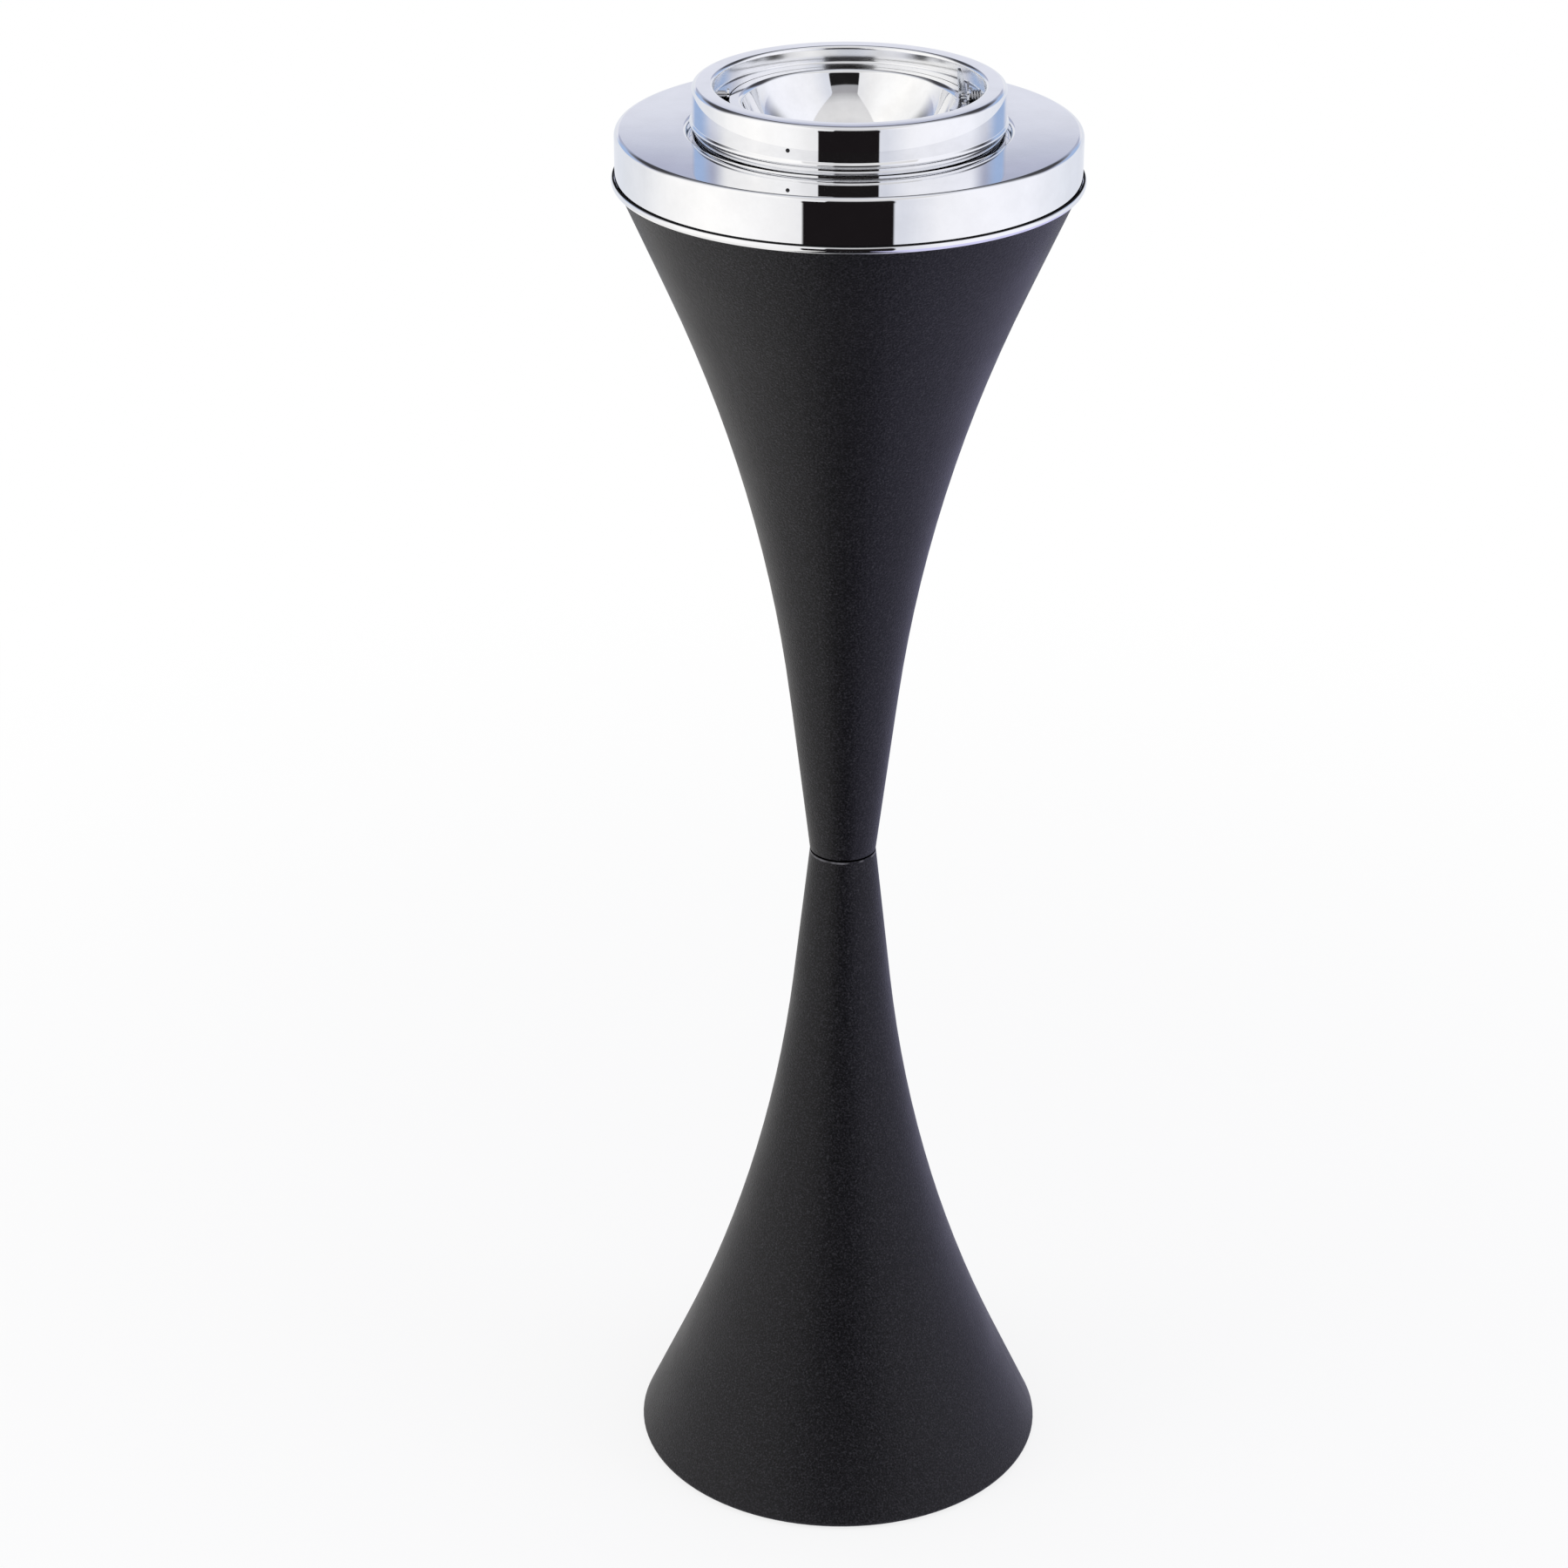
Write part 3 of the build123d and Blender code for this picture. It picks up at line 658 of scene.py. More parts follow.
def round_edges(
    piece: Piece, wanted: Callable[[Vector, Vector], bool], offset: float, steps: int
) -> None:
    """Rounds the edges whose two ends pass a test.

    Args:
        piece: the piece in hand, out of edit mode.
        wanted: the test.
        offset: how far the rounding reaches from the edge.
        steps: faces in the rounding.
    """
    select_none(piece)
    for edge in piece.data.edges:
        edge.select = bool(wanted(*(piece.data.vertices[i].co for i in edge.vertices)))
    bpy.context.tool_settings.mesh_select_mode = (False, True, False)
    with editing():
        bpy.ops.mesh.bevel(offset=offset, offset_type="OFFSET", segments=steps, affect="EDGES")


def block(low: Place, high: Place) -> Piece:
    """Box between two corners.

    Args:
        low, high: its lowest and its highest corner.

    Returns:
        The box.
    """
    middle = tuple((a + b) / 2 for a, b in zip(low, high))
    bpy.ops.mesh.primitive_cube_add(size=1.0, location=middle)
    bpy.context.object.scale = tuple(b - a for a, b in zip(low, high))
    settle()
    return bpy.context.object


def combine(piece: Piece, other: Piece, operation: str) -> None:
    """Adds another solid to a piece, or cuts it out, and removes the other.

    Args:
        piece: the piece.
        other: the other solid.
        operation: UNION or DIFFERENCE.
    """
    bpy.ops.object.select_all(action="DESELECT")
    bpy.context.view_layer.objects.active = piece
    piece.select_set(True)
    step = piece.modifiers.new("combine", "BOOLEAN")
    step.operation = operation
    step.solver = "EXACT"
    step.object = other
    bpy.ops.object.modifier_apply(modifier=step.name)
    bpy.data.objects.remove(other)


# ---- spun sheet


@dataclass(frozen=True)
class Bend:
    """One corner of a spun section.

    Attributes:
        round: radius of the bend there, 0 for a sharp corner.
        steps: faces in the bend.
    """

    radius: float
    height: float
    round: float = 0.0
    steps: int = 6

    @property
    def point(self) -> Vector:
        """The corner's place in the section."""
        return Vector((self.radius, self.height))

    def holds(self, point: Vector) -> bool:
        """Whether a point of a piece lies on the corner's ring."""
        away = abs(math.hypot(point.x, point.y) - self.radius)
        return abs(point.z - self.height) < DOUBLES and away < NEAR


@dataclass
class SpunSheet:
    """A sheet or ring that is round about the bin's axis, walked corner by corner from a circle.

    Attributes:
        section: its corners; the outer side lies on the right of the walk.
        wall: thickness of the sheet, 0 where the section is the whole outline.
        cuts: boxes to cut out, as lowest and highest corners.
    """

    name: str
    section: list[Bend]
    wall: float = 0.0
    closed: bool = False
    pole: bool = False
    around: int = 256
    cuts: Sequence[tuple[Place, Place]] = ()
    sharp: float = 35.0

    def walk(self) -> Piece:
        """Walks the section from a circle.

        Returns:
            The bare sheet, without bends.
        """
        last = self.section[0]
        bpy.ops.mesh.primitive_circle_add(
            vertices=self.around, radius=last.radius, fill_type="NOTHING",
            location=(0.0, 0.0, last.height),
        )
        piece = bpy.context.object
        piece.name = piece.data.name = self.name
        settle()
        with editing():
            bpy.ops.mesh.select_mode(type="EDGE")
            bpy.ops.mesh.select_all(action="SELECT")
            for bend in self.section[1:] + self.section[:1] * self.closed:
                rise = {"value": (0.0, 0.0, bend.height - last.height)}
                bpy.ops.mesh.extrude_region_move(TRANSFORM_OT_translate=rise)
                grow = bend.radius / last.radius
                centre = (0.0, 0.0, bend.height)
                bpy.ops.transform.resize(value=(grow, grow, 1.0), center_override=centre)
                last = bend
            if self.pole:
                bpy.ops.mesh.edge_face_add()
            bpy.ops.mesh.select_all(action="SELECT")
            bpy.ops.mesh.remove_doubles(threshold=DOUBLES)
            bpy.ops.mesh.normals_make_consistent(inside=False)
        return piece

    def round_bend(self, piece: Piece, index: int) -> None:
        """Rounds one corner's ring.

        Args:
            piece: the piece.
            index: the corner's place in the section.
        """
        before, bend, after = self.section[index - 1 : index + 2]
        turn = (bend.point - before.point).angle(after.point - bend.point)
        offset = bend.round * math.tan(turn / 2)
        round_edges(piece, lambda p, q: bend.holds(p) and bend.holds(q), offset, bend.steps)

    def face_out(self, piece: Piece) -> None:
        """Turns the faces so that the side on the right of the walk is the outer one.

        Args:
            piece: the piece.
        """
        here, after = self.section[0].point, self.section[1].point
        middle = (here + after) / 2
        right = Vector((after.y - here.y, here.x - after.x))

        def away(face: bpy.types.MeshPolygon) -> float:
            """Distance of a face from the middle of the first run."""
            return (Vector((face.center.xy.length, face.center.z)) - middle).length

        face = min(piece.data.polygons, key=away)
        shown = Vector((face.normal.xy.dot(face.center.xy.normalized()), face.normal.z))
        if shown.dot(right) < 0.0:
            with editing():
                bpy.ops.mesh.select_all(action="SELECT")
                bpy.ops.mesh.flip_normals()

    def build(self) -> Piece:
        """Walks the section, rounds its corners, gives it its wall and makes its cuts.

        Returns:
            The piece.
        """
        piece = self.walk()
        for index, bend in enumerate(self.section):
            if bend.round > 0.0:
                self.round_bend(piece, index)
        self.face_out(piece)
        if self.wall > 0.0:
            sheet = piece.modifiers.new("wall", "SOLIDIFY")
            sheet.thickness = self.wall
            sheet.offset = -1.0
            bpy.ops.object.modifier_apply(modifier=sheet.name)
        for low, high in self.cuts:
            combine(piece, block(low, high), "DIFFERENCE")
        bpy.ops.object.shade_smooth_by_angle(angle=math.radians(self.sharp))
        even = piece.modifiers.new("even", "WEIGHTED_NORMAL")
        even.keep_sharp = True
        even.weight = 100
        bpy.ops.object.modifier_apply(modifier=even.name)
        log.info("built %s, %d faces", self.name, len(piece.data.polygons))
        return piece


def circle_through(first: Vector, second: Vector, third: Vector) -> tuple[Vector, float]:
    """Circle through three points of a section.

    Args:
        first, second, third: the points.

    Returns:
        The centre and the radius.
    """
    (ax, ay), (bx, by), (cx, cy) = first, second, third
    d = 2 * (ax * (by - cy) + bx * (cy - ay) + cx * (ay - by))
    a2, b2, c2 = ax * ax + ay * ay, bx * bx + by * by, cx * cx + cy * cy
    x = (a2 * (by - cy) + b2 * (cy - ay) + c2 * (ay - by)) / d
    y = (a2 * (cx - bx) + b2 * (ax - cx) + c2 * (bx - ax)) / d
    centre = Vector((x, y))
    return centre, (first - centre).length


# ---- sub-assemblies


@dataclass
class Assembly:
    """A group of pieces on one body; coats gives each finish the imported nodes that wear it."""

    palette: Palette
    body: ClassVar[str]
    coats: ClassVar[dict[Coat, tuple[str, ...]]]

    def dress(self) -> None:
        """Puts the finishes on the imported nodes."""
        for coat, nodes in self.coats.items():
            for node in nodes:
                piece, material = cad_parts[node], self.palette.get(coat)
                if not piece.material_slots:
                    piece.data.materials.append(material)
                for place in piece.material_slots:
                    place.material = material
                log.info("dressed %s in %s", node, material.name)

    def finish(self, piece: Piece, coat: Coat, slot: str, node: str) -> None:
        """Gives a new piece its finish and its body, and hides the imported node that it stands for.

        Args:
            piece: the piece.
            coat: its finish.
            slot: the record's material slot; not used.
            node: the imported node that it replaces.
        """
        piece.data.materials.clear()
        piece.data.materials.append(self.palette.get(coat))
        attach(piece, self.body)
        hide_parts(node)
        log.info("finished %s", piece.name)

    def build(self) -> None:
        """Models the group's new pieces; a group without any keeps this."""


@dataclass
class Stand(Assembly):
    """The two shells, what ties them together, the ballast and the rim ring."""

    mouth: float = 0.10215
    flange: float = 0.0011
    bead_drop: float = 0.00155
    bead_out: float = 0.0008
    bead_over: float = 0.0003
    bead_steps: int = 14
    rim_in: float = 0.0945
    rim_wall: float = 0.0010
    seat_in: float = 0.0914
    inside_cad: float = 0.000004
    body = "stand"
    coats = {
        Coat.POWDER: ("lower_trumpet", "upper_trumpet"),
        Coat.ALUMINIUM: ("clamp_cone",),
        Coat.IRON: ("base_weight",),
        Coat.ZINC: ("base_plate", "foot_screws", "tie_rod", "rod_washers", "rod_nuts"),
        Coat.RUBBER: ("rubber_feet",),
    }

    def bead(self) -> list[Bend]:
        """Half-round bead outside the cover's skirt.

        Returns:
            The section's points, from below to above.
        """
        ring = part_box("rim_ring")[1]
        cover_low, cover_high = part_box("cover")
        skirt, over = cover_low.z, self.bead_over
        low = Vector((self.mouth + over, skirt - self.flange - self.bead_drop))
        high = Vector((cover_high.x + over, ring.z))
        out = Vector((ring.x - self.inside_cad, skirt - self.bead_out))
        centre, size = circle_through(low, out, high)
        start, end = (math.atan2(*(p - centre).yx) for p in (low, high))
        turns = [start + (end - start) * i / self.bead_steps for i in range(self.bead_steps + 1)]
        return [Bend(centre.x + size * math.cos(t), centre.y + size * math.sin(t)) for t in turns]

    def build(self) -> None:
        """Models the rim ring: a bead, a flange on the mouth and a seat for the bucket."""
        foot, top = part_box("rim_ring")[0].z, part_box("cover")[0].z
        below, seat, outer = top - self.flange, foot + self.rim_wall, self.rim_in + self.rim_wall
        bead = self.bead()
        inner = [
            Bend(bead[-1].radius, top),
            Bend(self.rim_in, top),
            Bend(self.rim_in, seat),
            Bend(self.seat_in, seat),
            Bend(self.seat_in, foot),
            Bend(outer, foot),
            Bend(outer, below),
            Bend(bead[0].radius, below),
        ]
        ring = SpunSheet("spun_rim_ring", bead + inner, closed=True).build()
        self.finish(ring, Coat.RIM, "chrome_plate", "rim_ring")


@dataclass
class Liner(Assembly):
    """The lift-out bucket."""

    body = "liner"
    coats = {Coat.GALVANISED: ("ash_liner",)}


@dataclass
class Head(Assembly):
    """The cover, the collar and what is fixed in them."""

    wall: float = 0.0010
    hole: float = 0.0708
    seat: float = 0.0600
    shoulder: float = 0.0024
    hole_lip: float = 0.0016
    hole_foot: float = 0.0009
    collar_foot: float = 0.0580
    collar_wall: float = 0.0686
    foot_round: float = 0.0013
    throat: float = 0.0590
    throat_out: float = 0.0023
    throat_in: float = 0.0016
    ledge: float = 0.0527
    ledge_drop: float = 0.0074
    ledge_round: float = 0.0008
    bead_up: float = 0.0081
    bead_half: float = 0.00135
    bead_proud: float = 0.00138
    bead_round: float = 0.0009
    bead_foot: float = 0.0004
    notch_in: float = 0.0500
    notch_out: float = 0.0577
    notch_half: float = 0.0050
    notch_over: float = 0.0003
    body = "head"
    coats = {
        Coat.ZINC: ("collar_screws", "collar_nuts", "stop_bracket"),
        Coat.PIN: ("right_pivot_pin", "left_pivot_pin", "pivot_spacer"),
        Coat.WIRE: ("return_spring",),
        Coat.RIVET: ("stop_rivet",),
    }

    def cover(self) -> None:
        """Models the cover: a skirt, a flat top and a sunk seat for the collar."""
        low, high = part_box("cover")
        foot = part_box("collar")[0].z
        section = [
            Bend(high.x, low.z),
            Bend(high.x, high.z, self.shoulder, 8),
            Bend(self.hole, high.z, self.hole_lip, 8),
            Bend(self.hole, foot, self.hole_foot, 4),
            Bend(self.seat, foot),
        ]
        sheet = SpunSheet("spun_cover", section, self.wall).build()
        self.finish(sheet, Coat.CHROME, "chrome_plate", "cover")

    def collar(self) -> None:
        """Models the collar: a wall with a bead, rolled over into the throat and a ledge."""
        low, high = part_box("collar")
        wall, bead, half = self.collar_wall, low.z + self.bead_up, self.bead_half
        ledge = high.z - self.ledge_drop
        section = [
            Bend(self.collar_foot, low.z),
            Bend(wall, low.z, self.foot_round, 5),
            Bend(wall, bead - half, self.bead_foot, 3),
            Bend(wall + self.bead_proud, bead, self.bead_round, 6),
            Bend(wall, bead + half, self.bead_foot, 3),
            Bend(wall, high.z, self.throat_out, 8),
            Bend(self.throat, high.z, self.throat_in, 8),
            Bend(self.throat, ledge, self.ledge_round, 4),
            Bend(self.ledge, ledge),
        ]
        near, far, side = self.notch_in, self.notch_out, self.notch_half
        below, above = ledge - 2 * self.wall, ledge + self.notch_over
        notches = (
            ((near, -side, below), (far, side, above)),
            ((-far, -side, below), (-near, side, above)),
        )
        sheet = SpunSheet("spun_collar", section, self.wall, cuts=notches).build()
        self.finish(sheet, Coat.COLLAR, "chrome_plate", "collar")

    def build(self) -> None:
        """Models the cover and the collar."""
        self.cover()
        self.collar()


@dataclass
class TippingBowl(Assembly):
    """The dish, its ears and the thumb lever."""

    brim: float = 0.0520
    mouth: float = 0.0468
    depth: float = 0.0340
    lip: float = 0.0022
    wall: float = 0.0010
    pole: float = 0.0004
    dish_steps: int = 24
    strip_in: float = 0.0465
    strip_out: float = 0.0518
    strip_thick: float = 0.0009
    strip_front: float = -23.5
    strip_back: float = 9.3
    strip_steps: int = 24
    strip_round: float = 0.0016
    ear_x: float = 0.0510
    ear_half: float = 0.0030
    ear_top: float = 0.0046
    ear_thick: float = 0.0010
    ear_round: float = 0.0020
    bore: float = 0.00125
    axis_up: float = 0.0016
    blade_foot: Span = (0.0492, 0.0075)
    blade_lean: float = 0.0004
    blade_widths: tuple[float, ...] = (0.0034, 0.0034, 0.0032, 0.0028, 0.0022, 0.0012)
    rolled: float = 0.00016
    sharp: float = 40.0
    body = "bowl"
    coats = {
        Coat.CHROME: ("left_ear",),
        Coat.PIN: ("ear_rivets",),
        Coat.WIRE: ("spring_hook",),
    }

    def dish(self) -> None:
        """Models the dish: part of a sphere with a flat brim."""
        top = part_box("bowl")[1].z
        size = (self.mouth**2 + self.depth**2) / (2 * self.depth)
        centre = top - self.depth + size
        widest = math.asin(self.mouth / size)
        turns = [widest * (1.0 - i / self.dish_steps) for i in range(1, self.dish_steps)]
        section = [
            Bend(self.brim, top),
            Bend(self.mouth, top, self.lip, 7),
            *(Bend(size * math.sin(t), centre - size * math.cos(t)) for t in turns),
            Bend(self.pole, top - self.depth),
        ]
        dish = SpunSheet("spun_bowl", section, self.wall, pole=True).build()
        self.finish(dish, Coat.BOWL, "polished_bowl", "bowl")

    @property
    def top(self) -> float:
        """Height of the brim's upper side."""
        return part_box("thumb_lever")[0].z

    def strip(self) -> Piece:
        """Strip that follows the brim, spun from its cross-section.

        Returns:
            The strip.
        """
        front, back = math.radians(self.strip_front), math.radians(self.strip_back)
        bpy.ops.mesh.primitive_plane_add(size=1.0, rotation=(math.radians(90.0), 0.0, 0.0))
        piece = bpy.context.object
        piece.scale = (self.strip_out - self.strip_in, self.strip_thick, 1.0)
        middle = (self.strip_in + self.strip_out) / 2
        piece.location = (middle, 0.0, self.top + self.strip_thick / 2)
        settle()
        piece.rotation_euler = (0.0, 0.0, front)
        settle()
        with editing():
            bpy.ops.mesh.select_all(action="SELECT")
            bpy.ops.mesh.spin(steps=self.strip_steps, angle=front - back, axis=(0.0, 0.0, 1.0))
            bpy.ops.mesh.select_all(action="SELECT")
            bpy.ops.mesh.remove_doubles(threshold=DOUBLES)
            bpy.ops.mesh.normals_make_consistent(inside=False)

        def at_end(p: Vector, q: Vector) -> bool:
            """Whether an edge is an upright one at either end."""
            aside = min(abs(math.atan2(p.y, p.x) - end) for end in (front, back))
            return abs(p.z - q.z) > 0.5 * self.strip_thick and aside < 0.001

        round_edges(piece, at_end, self.strip_round, 6)
        return piece

    def ear(self) -> Piece:
        """Upright ear with round shoulders.

        Returns:
            The ear.
        """
        top, half, thick = self.top + self.ear_top, self.ear_half, self.ear_thick
        piece = block((self.ear_x, -half, self.top), (self.ear_x + thick, half, top))
        round_edges(
            piece, lambda p, q: min(p.z, q.z) > top - NEAR and abs(p.x - q.x) > thick / 2,
            self.ear_round, 8,
        )
        return piece

    def blade(self) -> Piece:
        """Upright thumb blade, drawn up narrower step by step and leaning inwards.

        Returns:
            The blade.
        """
        (x, y), widths, height = self.blade_foot, self.blade_widths, self.top
        rise = (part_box("thumb_lever")[1].z - height) / (len(widths) - 1)
        side, half = widths[0] / 2, self.strip_thick / 2
        piece = block((x - side, y - half, height), (x + side, y + half, height + rise))
        for step, (last, width) in enumerate(zip(widths[1:], widths[2:]), start=1):
            level = height + step * rise
            select_none(piece)
            for face in piece.data.polygons:
                face.select = face.normal.z > 0.9 and face.center.z > level - NEAR
            bpy.context.tool_settings.mesh_select_mode = (False, False, True)
            with editing():
                up = {"value": (-self.blade_lean, 0.0, rise)}
                bpy.ops.mesh.extrude_region_move(TRANSFORM_OT_translate=up)
                centre = (x - self.blade_lean * step, y, level + rise)
                bpy.ops.transform.resize(value=(width / last, 1.0, 1.0), center_override=centre)
        return piece

    def drill(self) -> Piece:
        """Cylinder for the ear's bore.

        Returns:
            The cylinder.
        """
        bpy.ops.mesh.primitive_cylinder_add(
            vertices=48,
            radius=self.bore,
            depth=6 * self.ear_thick,
            location=(self.ear_x + self.ear_thick / 2, 0.0, self.top + self.axis_up),
            rotation=(0.0, math.radians(90.0), 0.0),
        )
        settle()
        return bpy.context.object

    def lever(self) -> None:
        """Models the thumb lever: strip, ear and blade in one, with a bore and rolled edges."""
        piece, ear, blade = self.strip(), self.ear(), self.blade()
        combine(piece, ear, "UNION")
        combine(piece, blade, "UNION")
        combine(piece, self.drill(), "DIFFERENCE")
        piece.name = "thumb_lever_pressed"
        edges = piece.modifiers.new("edges", "BEVEL")
        edges.width = self.rolled
        edges.segments = 3
        edges.limit_method = "ANGLE"
        edges.angle_limit = math.radians(self.sharp)
        bpy.ops.object.modifier_apply(modifier=edges.name)
        bpy.ops.object.shade_smooth_by_angle(angle=math.radians(self.sharp))
        self.finish(piece, Coat.LEVER, "polished_bowl", "thumb_lever")

    def build(self) -> None:
        """Models the dish and the lever."""
        self.dish()
        self.lever()


# ---- studio


@dataclass(frozen=True)
class LightTent:
    """What the bright metal sees: pale panels at the sides, a dark gap in front, a dim back wall.

    Attributes:
        gap, gap_soft: half width and soft edge of the dark gap in front.
        pinch, flare, shift: how it narrows, widens overhead and leans to the right.
        round_about: tones from the back by the left, the front and the right.
    """

    gap: float = 0.405
    gap_soft: float = 0.014
    front: Span = (0.12, 0.0)
    pinch: float = 0.22
    pinch_up: Span = (0.31, 0.38)
    flare_from: float = 0.705
    flare: float = 2.64
    shift: float = 0.115
    shift_more: float = 0.10
    round_about: Stops = (
        (0.000, (0.846, 0.864, 0.918)),
        (0.085, (0.792, 0.819, 0.882)),
        (0.170, (0.864, 0.873, 0.900)),
        (0.225, (1.044, 1.035, 1.026)),
        (0.300, (1.125, 1.107, 1.080)),
        (0.370, (1.080, 1.071, 1.062)),
        (0.425, (0.954, 0.945, 0.945)),
        (0.575, (0.774, 0.792, 0.864)),
        (0.625, (0.980, 0.980, 1.020)),
        (0.690, (1.020, 1.020, 1.070)),
        (0.770, (1.000, 1.005, 1.070)),
        (0.860, (0.846, 0.873, 0.945)),
        (0.920, (0.774, 0.801, 0.882)),
        (1.000, (0.846, 0.864, 0.918)),
    )
    gap_tones: Stops = (
        (0.000, (0.011, 0.009, 0.010)),
        (0.575, (0.014, 0.013, 0.013)),
        (0.590, (0.378, 0.378, 0.396)),
        (0.680, (0.405, 0.396, 0.414)),
        (0.740, (0.594, 0.594, 0.603)),
        (0.800, (0.774, 0.765, 0.774)),
        (0.930, (0.819, 0.810, 0.810)),
        (1.000, (0.702, 0.693, 0.702)),
    )
    back_tones: Stops = (
        (0.000, (0.882, 0.882, 0.918)),
        (0.220, (0.882, 0.882, 0.927)),
        (0.262, (0.800, 0.812, 0.900)),
        (0.278, (0.787, 0.803, 0.893)),
        (0.282, (0.739, 0.755, 0.848)),
        (0.286, (0.657, 0.678, 0.790)),
        (0.290, (0.546, 0.572, 0.690)),
        (0.293, (0.495, 0.513, 0.646)),
        (0.297, (0.459, 0.482, 0.617)),
        (0.360, (0.420, 0.440, 0.549)),
        (0.500, (0.063, 0.063, 0.072)),
        (0.660, (0.063, 0.063, 0.072)),
        (0.800, (0.360, 0.365, 0.400)),
        (1.000, (0.640, 0.645, 0.680)),
    )
    back_along: Span = (0.15, 0.50)
    back_up: Span = (0.14, 0.24)
    cool_corner: Colour = (0.400, 0.530, 0.790)
    corner_in: Span = (0.42, 0.74)
    corner_out: Span = (0.94, 0.84)
    corner_low: Span = (0.12, 0.20)
    corner_high: Span = (0.44, 0.36)
    matt: Colour = (0.80, 0.80, 0.82)

    def gap_mask(self, g: Graph, across: Socket, along: Socket, up: Socket) -> Socket:
        """Shape of the dark gap in front.

        Args:
            g: the world's node tree.
            across, along, up: the direction's X, Y and Z.

        Returns:
            1 in the gap and 0 outside it.
        """
        reach = g.maths("MAXIMUM", g.maths("ABSOLUTE", along), up)
        high = g.step(up, *self.pinch_up)
        over = g.maths("MAXIMUM", g.maths("SUBTRACT", up, self.flare_from), 0.0)
        middle = g.maths("ADD", g.times(high, self.shift), g.times(over, self.shift_more))
        narrowed = g.maths("MULTIPLY_ADD", high, -self.pinch, 1.0)
        widened = g.maths("ADD", narrowed, g.times(over, self.flare))
        aside = g.maths("ABSOLUTE", g.maths("SUBTRACT", g.maths("DIVIDE", across, reach), middle))
        width, gap, soft = g.maths("DIVIDE", aside, widened), self.gap, self.gap_soft
        within = g.step(width, gap + soft, gap - soft)
        return g.times(within, g.step(along, *self.front))

    def build(self) -> bpy.types.World:
        """Builds the world: white to the eye, even to matt surfaces, and the tent to bright ones.

        Returns:
            The world.
        """
        world = bpy.data.worlds.new("light_tent")
        world.use_nodes = True
        world.node_tree.nodes.clear()
        g = Graph(world.node_tree)
        across, along, up = g.apart(g.add("TexCoord", "Generated", {}))
        turn = g.maths("ARCTAN2", across, g.times(along, -1.0))
        tone = g.ramp(g.maths("MULTIPLY_ADD", turn, 0.5 / math.pi, 0.5), self.round_about)
        back = g.times(g.step(along, *self.back_along), g.step(up, *self.back_up))
        tone = g.mix(back, tone, g.ramp(up, self.back_tones))
        beside = g.times(g.step(along, *self.corner_in), g.step(along, *self.corner_out))
        level = g.times(g.step(up, *self.corner_low), g.step(up, *self.corner_high))
        tone = g.mix(g.times(beside, level), tone, self.cool_corner)
        tone = g.mix(self.gap_mask(g, across, along, up), tone, g.ramp(up, self.gap_tones))
        colour = g.mix(g.rays("Camera"), g.mix(g.rays("Glossy"), self.matt, tone), WHITE)
        g.end("World", g.add("Background", "Background", {"Color": colour}))
        return world


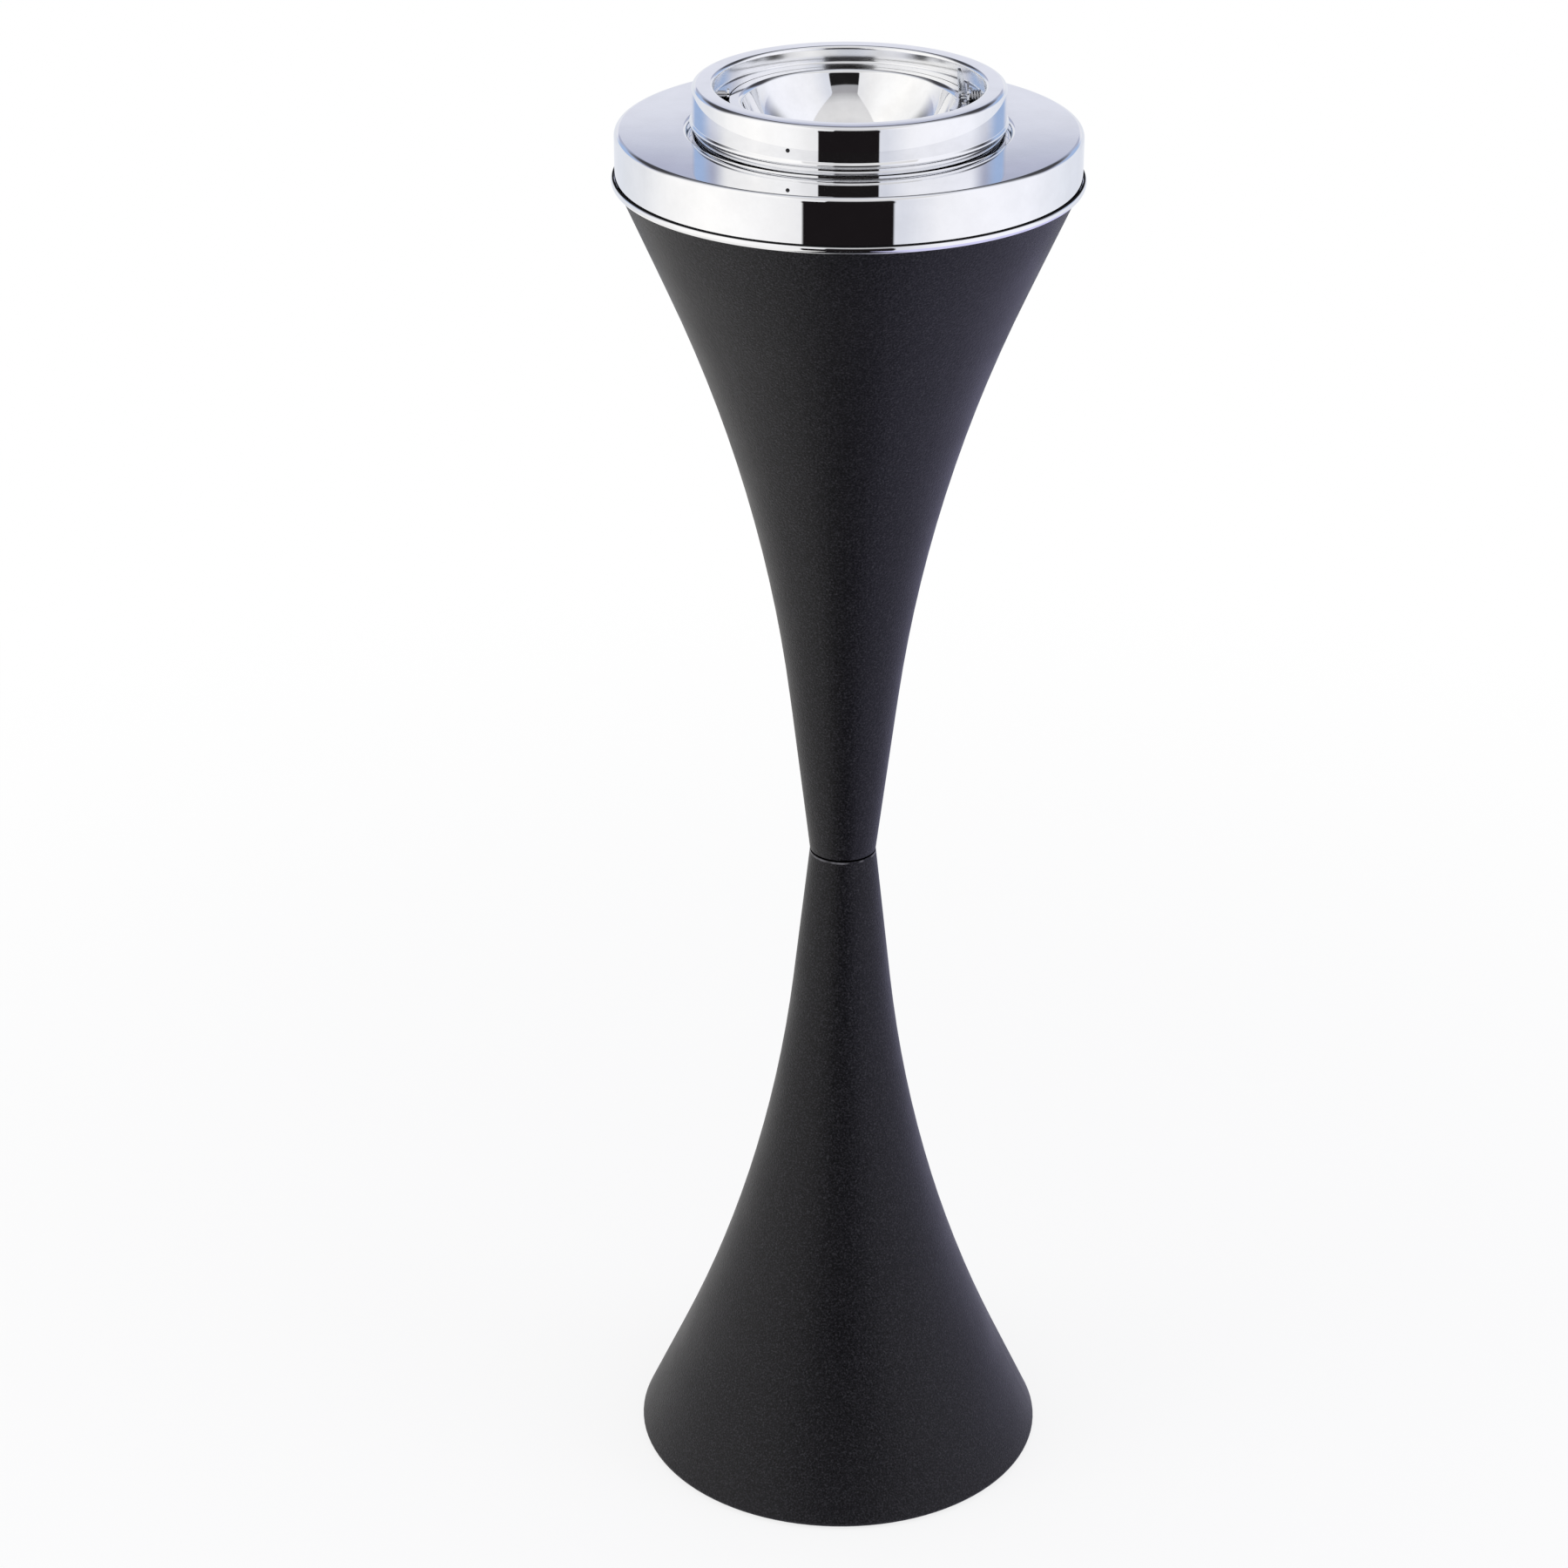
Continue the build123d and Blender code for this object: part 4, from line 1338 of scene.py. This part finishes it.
@dataclass
class Studio:
    """White floor, a tent of light, two soft side lamps and the camera."""

    floor_radius: float = 1.30
    floor_paint: Colour = (0.86, 0.86, 0.87)
    floor_glow: float = 0.80
    floor_fade: Span = (0.25, 1.15)
    floor_sides: Stops = (
        (0.00, (1.00, 0.985, 0.960)),
        (0.46, (1.00, 0.985, 0.965)),
        (0.52, (0.84, 0.83, 0.99)),
        (0.57, (0.69, 0.67, 1.00)),
        (1.00, (0.69, 0.67, 1.00)),
    )
    card_half: float = 0.22
    card_near: float = 0.16
    card_far: float = 1.28
    card_up: float = 0.004
    card_paint: Colour = (0.010, 0.010, 0.011)
    aim_height: float = 0.38
    lamp_power: float = 5.0
    lamp_size: Span = (0.8, 1.4)
    camera_place: Place = (0.0, -1.6872, 1.1723)
    camera_pitch: float = 25.835
    camera_yaw: float = -0.949
    camera_roll: float = 0.075
    lens: float = 91.48
    sensor: float = 36.0

    def stage(self, name: str, paint: Colour) -> tuple[Graph, Socket]:
        """Puts the object in hand on the stage, in a matt paint that is not linked yet.

        Args:
            name: the object's name.
            paint: the paint's colour.

        Returns:
            The node tree and the paint.
        """
        piece = bpy.context.object
        piece.name = name
        material = bpy.data.materials.new(name)
        material.use_nodes = True
        material.node_tree.nodes.clear()
        piece.data.materials.append(material)
        g = Graph(material.node_tree)
        return g, g.add("BsdfDiffuse", "BSDF", {"Color": paint})

    def floor(self) -> None:
        """White floor that keeps the bin's shadow and fades into the white behind."""
        bpy.ops.mesh.primitive_circle_add(
            vertices=128, radius=self.floor_radius, fill_type="NGON", location=(0.0, 0.0, 0.0)
        )
        g, paint = self.stage("studio_floor", self.floor_paint)
        place = g.add("TexCoord", "Object", {})
        camera = g.rays("Camera")
        side = g.maths("MULTIPLY_ADD", g.apart(place)[0], 0.5 / self.floor_radius, 0.5)
        seen = g.mix(camera, g.ramp(side, self.floor_sides), WHITE)
        glow = g.add("Emission", "Emission", {"Color": seen})
        far = g.step(g.length(place), *self.floor_fade)
        share = g.maths("MULTIPLY_ADD", far, 1.0 - self.floor_glow, self.floor_glow)
        share = g.times(g.maths("MAXIMUM", camera, g.rays("Glossy")), share)
        g.end("Material", g.add("MixShader", "Shader", {"Fac": share, 1: paint, 2: glow}))

    def floor_card(self) -> None:
        """Black card on the floor in front, seen only in reflections."""
        bpy.ops.mesh.primitive_plane_add(size=1.0, location=(0.0, 0.0, 0.0))
        card = bpy.context.object
        with editing():
            bpy.ops.mesh.select_all(action="SELECT")
            size = (2 * self.card_half, self.card_far - self.card_near, 1.0)
            bpy.ops.transform.resize(value=size)
            middle = (0.0, -(self.card_far + self.card_near) / 2, self.card_up)
            bpy.ops.transform.translate(value=middle)
        g, paint = self.stage("floor_card", self.card_paint)
        g.end("Material", paint)
        card.visible_camera = card.visible_diffuse = card.visible_shadow = False

    def lamp(self, name: str, place: Place, tint: Colour) -> None:
        """Soft lamp that faces the middle of the bin and isn't seen in the plate.

        Args:
            name: the lamp's name.
            place: its place.
            tint: its colour.
        """
        data = bpy.data.lights.new(name, "AREA")
        data.shape = "RECTANGLE"
        data.size, data.size_y = self.lamp_size
        data.energy = self.lamp_power
        data.color = tint
        lamp = bpy.data.objects.new(name, data)
        bpy.context.scene.collection.objects.link(lamp)
        lamp.location = place
        aim = Vector((0.0, 0.0, self.aim_height)) - Vector(place)
        lamp.rotation_euler = aim.to_track_quat("-Z", "Y").to_euler()
        lamp.visible_glossy = False

    def camera(self) -> None:
        """Camera that looks down on the head."""
        data = bpy.data.cameras.new("studio_camera")
        data.sensor_width = self.sensor
        data.lens = self.lens
        data.clip_start, data.clip_end = 0.05, 40.0
        eye = bpy.data.objects.new("studio_camera", data)
        bpy.context.scene.collection.objects.link(eye)
        pitch, yaw = math.radians(90.0 - self.camera_pitch), math.radians(-self.camera_yaw)
        aim = Euler((pitch, 0.0, yaw))
        roll = Euler((0.0, 0.0, math.radians(self.camera_roll)))
        eye.rotation_euler = (aim.to_matrix() @ roll.to_matrix()).to_euler()
        eye.location = self.camera_place
        bpy.context.scene.camera = eye

    def build(self) -> None:
        """Builds the floor, the tent, the lamps and the camera."""
        self.floor()
        self.floor_card()
        bpy.context.scene.world = LightTent().build()
        self.lamp("soft_lamp_left", (-1.30, -0.45, 0.95), (1.0, 0.97, 0.93))
        self.lamp("soft_lamp_right", (1.30, -0.35, 0.95), (0.85, 0.87, 1.0))
        self.camera()
        bpy.context.scene.view_settings.view_transform = "Standard"
        log.info("studio ready")


# ---- main


def main() -> None:
    """Dresses and builds everything in order."""
    logging.basicConfig(level=logging.INFO, format="%(message)s")
    palette = Palette()
    groups = (Stand(palette), Liner(palette), Head(palette), TippingBowl(palette))
    for group in groups:
        group.dress()
    for group in groups:
        group.build()
    Studio().build()


if __name__ == "__main__":
    main()
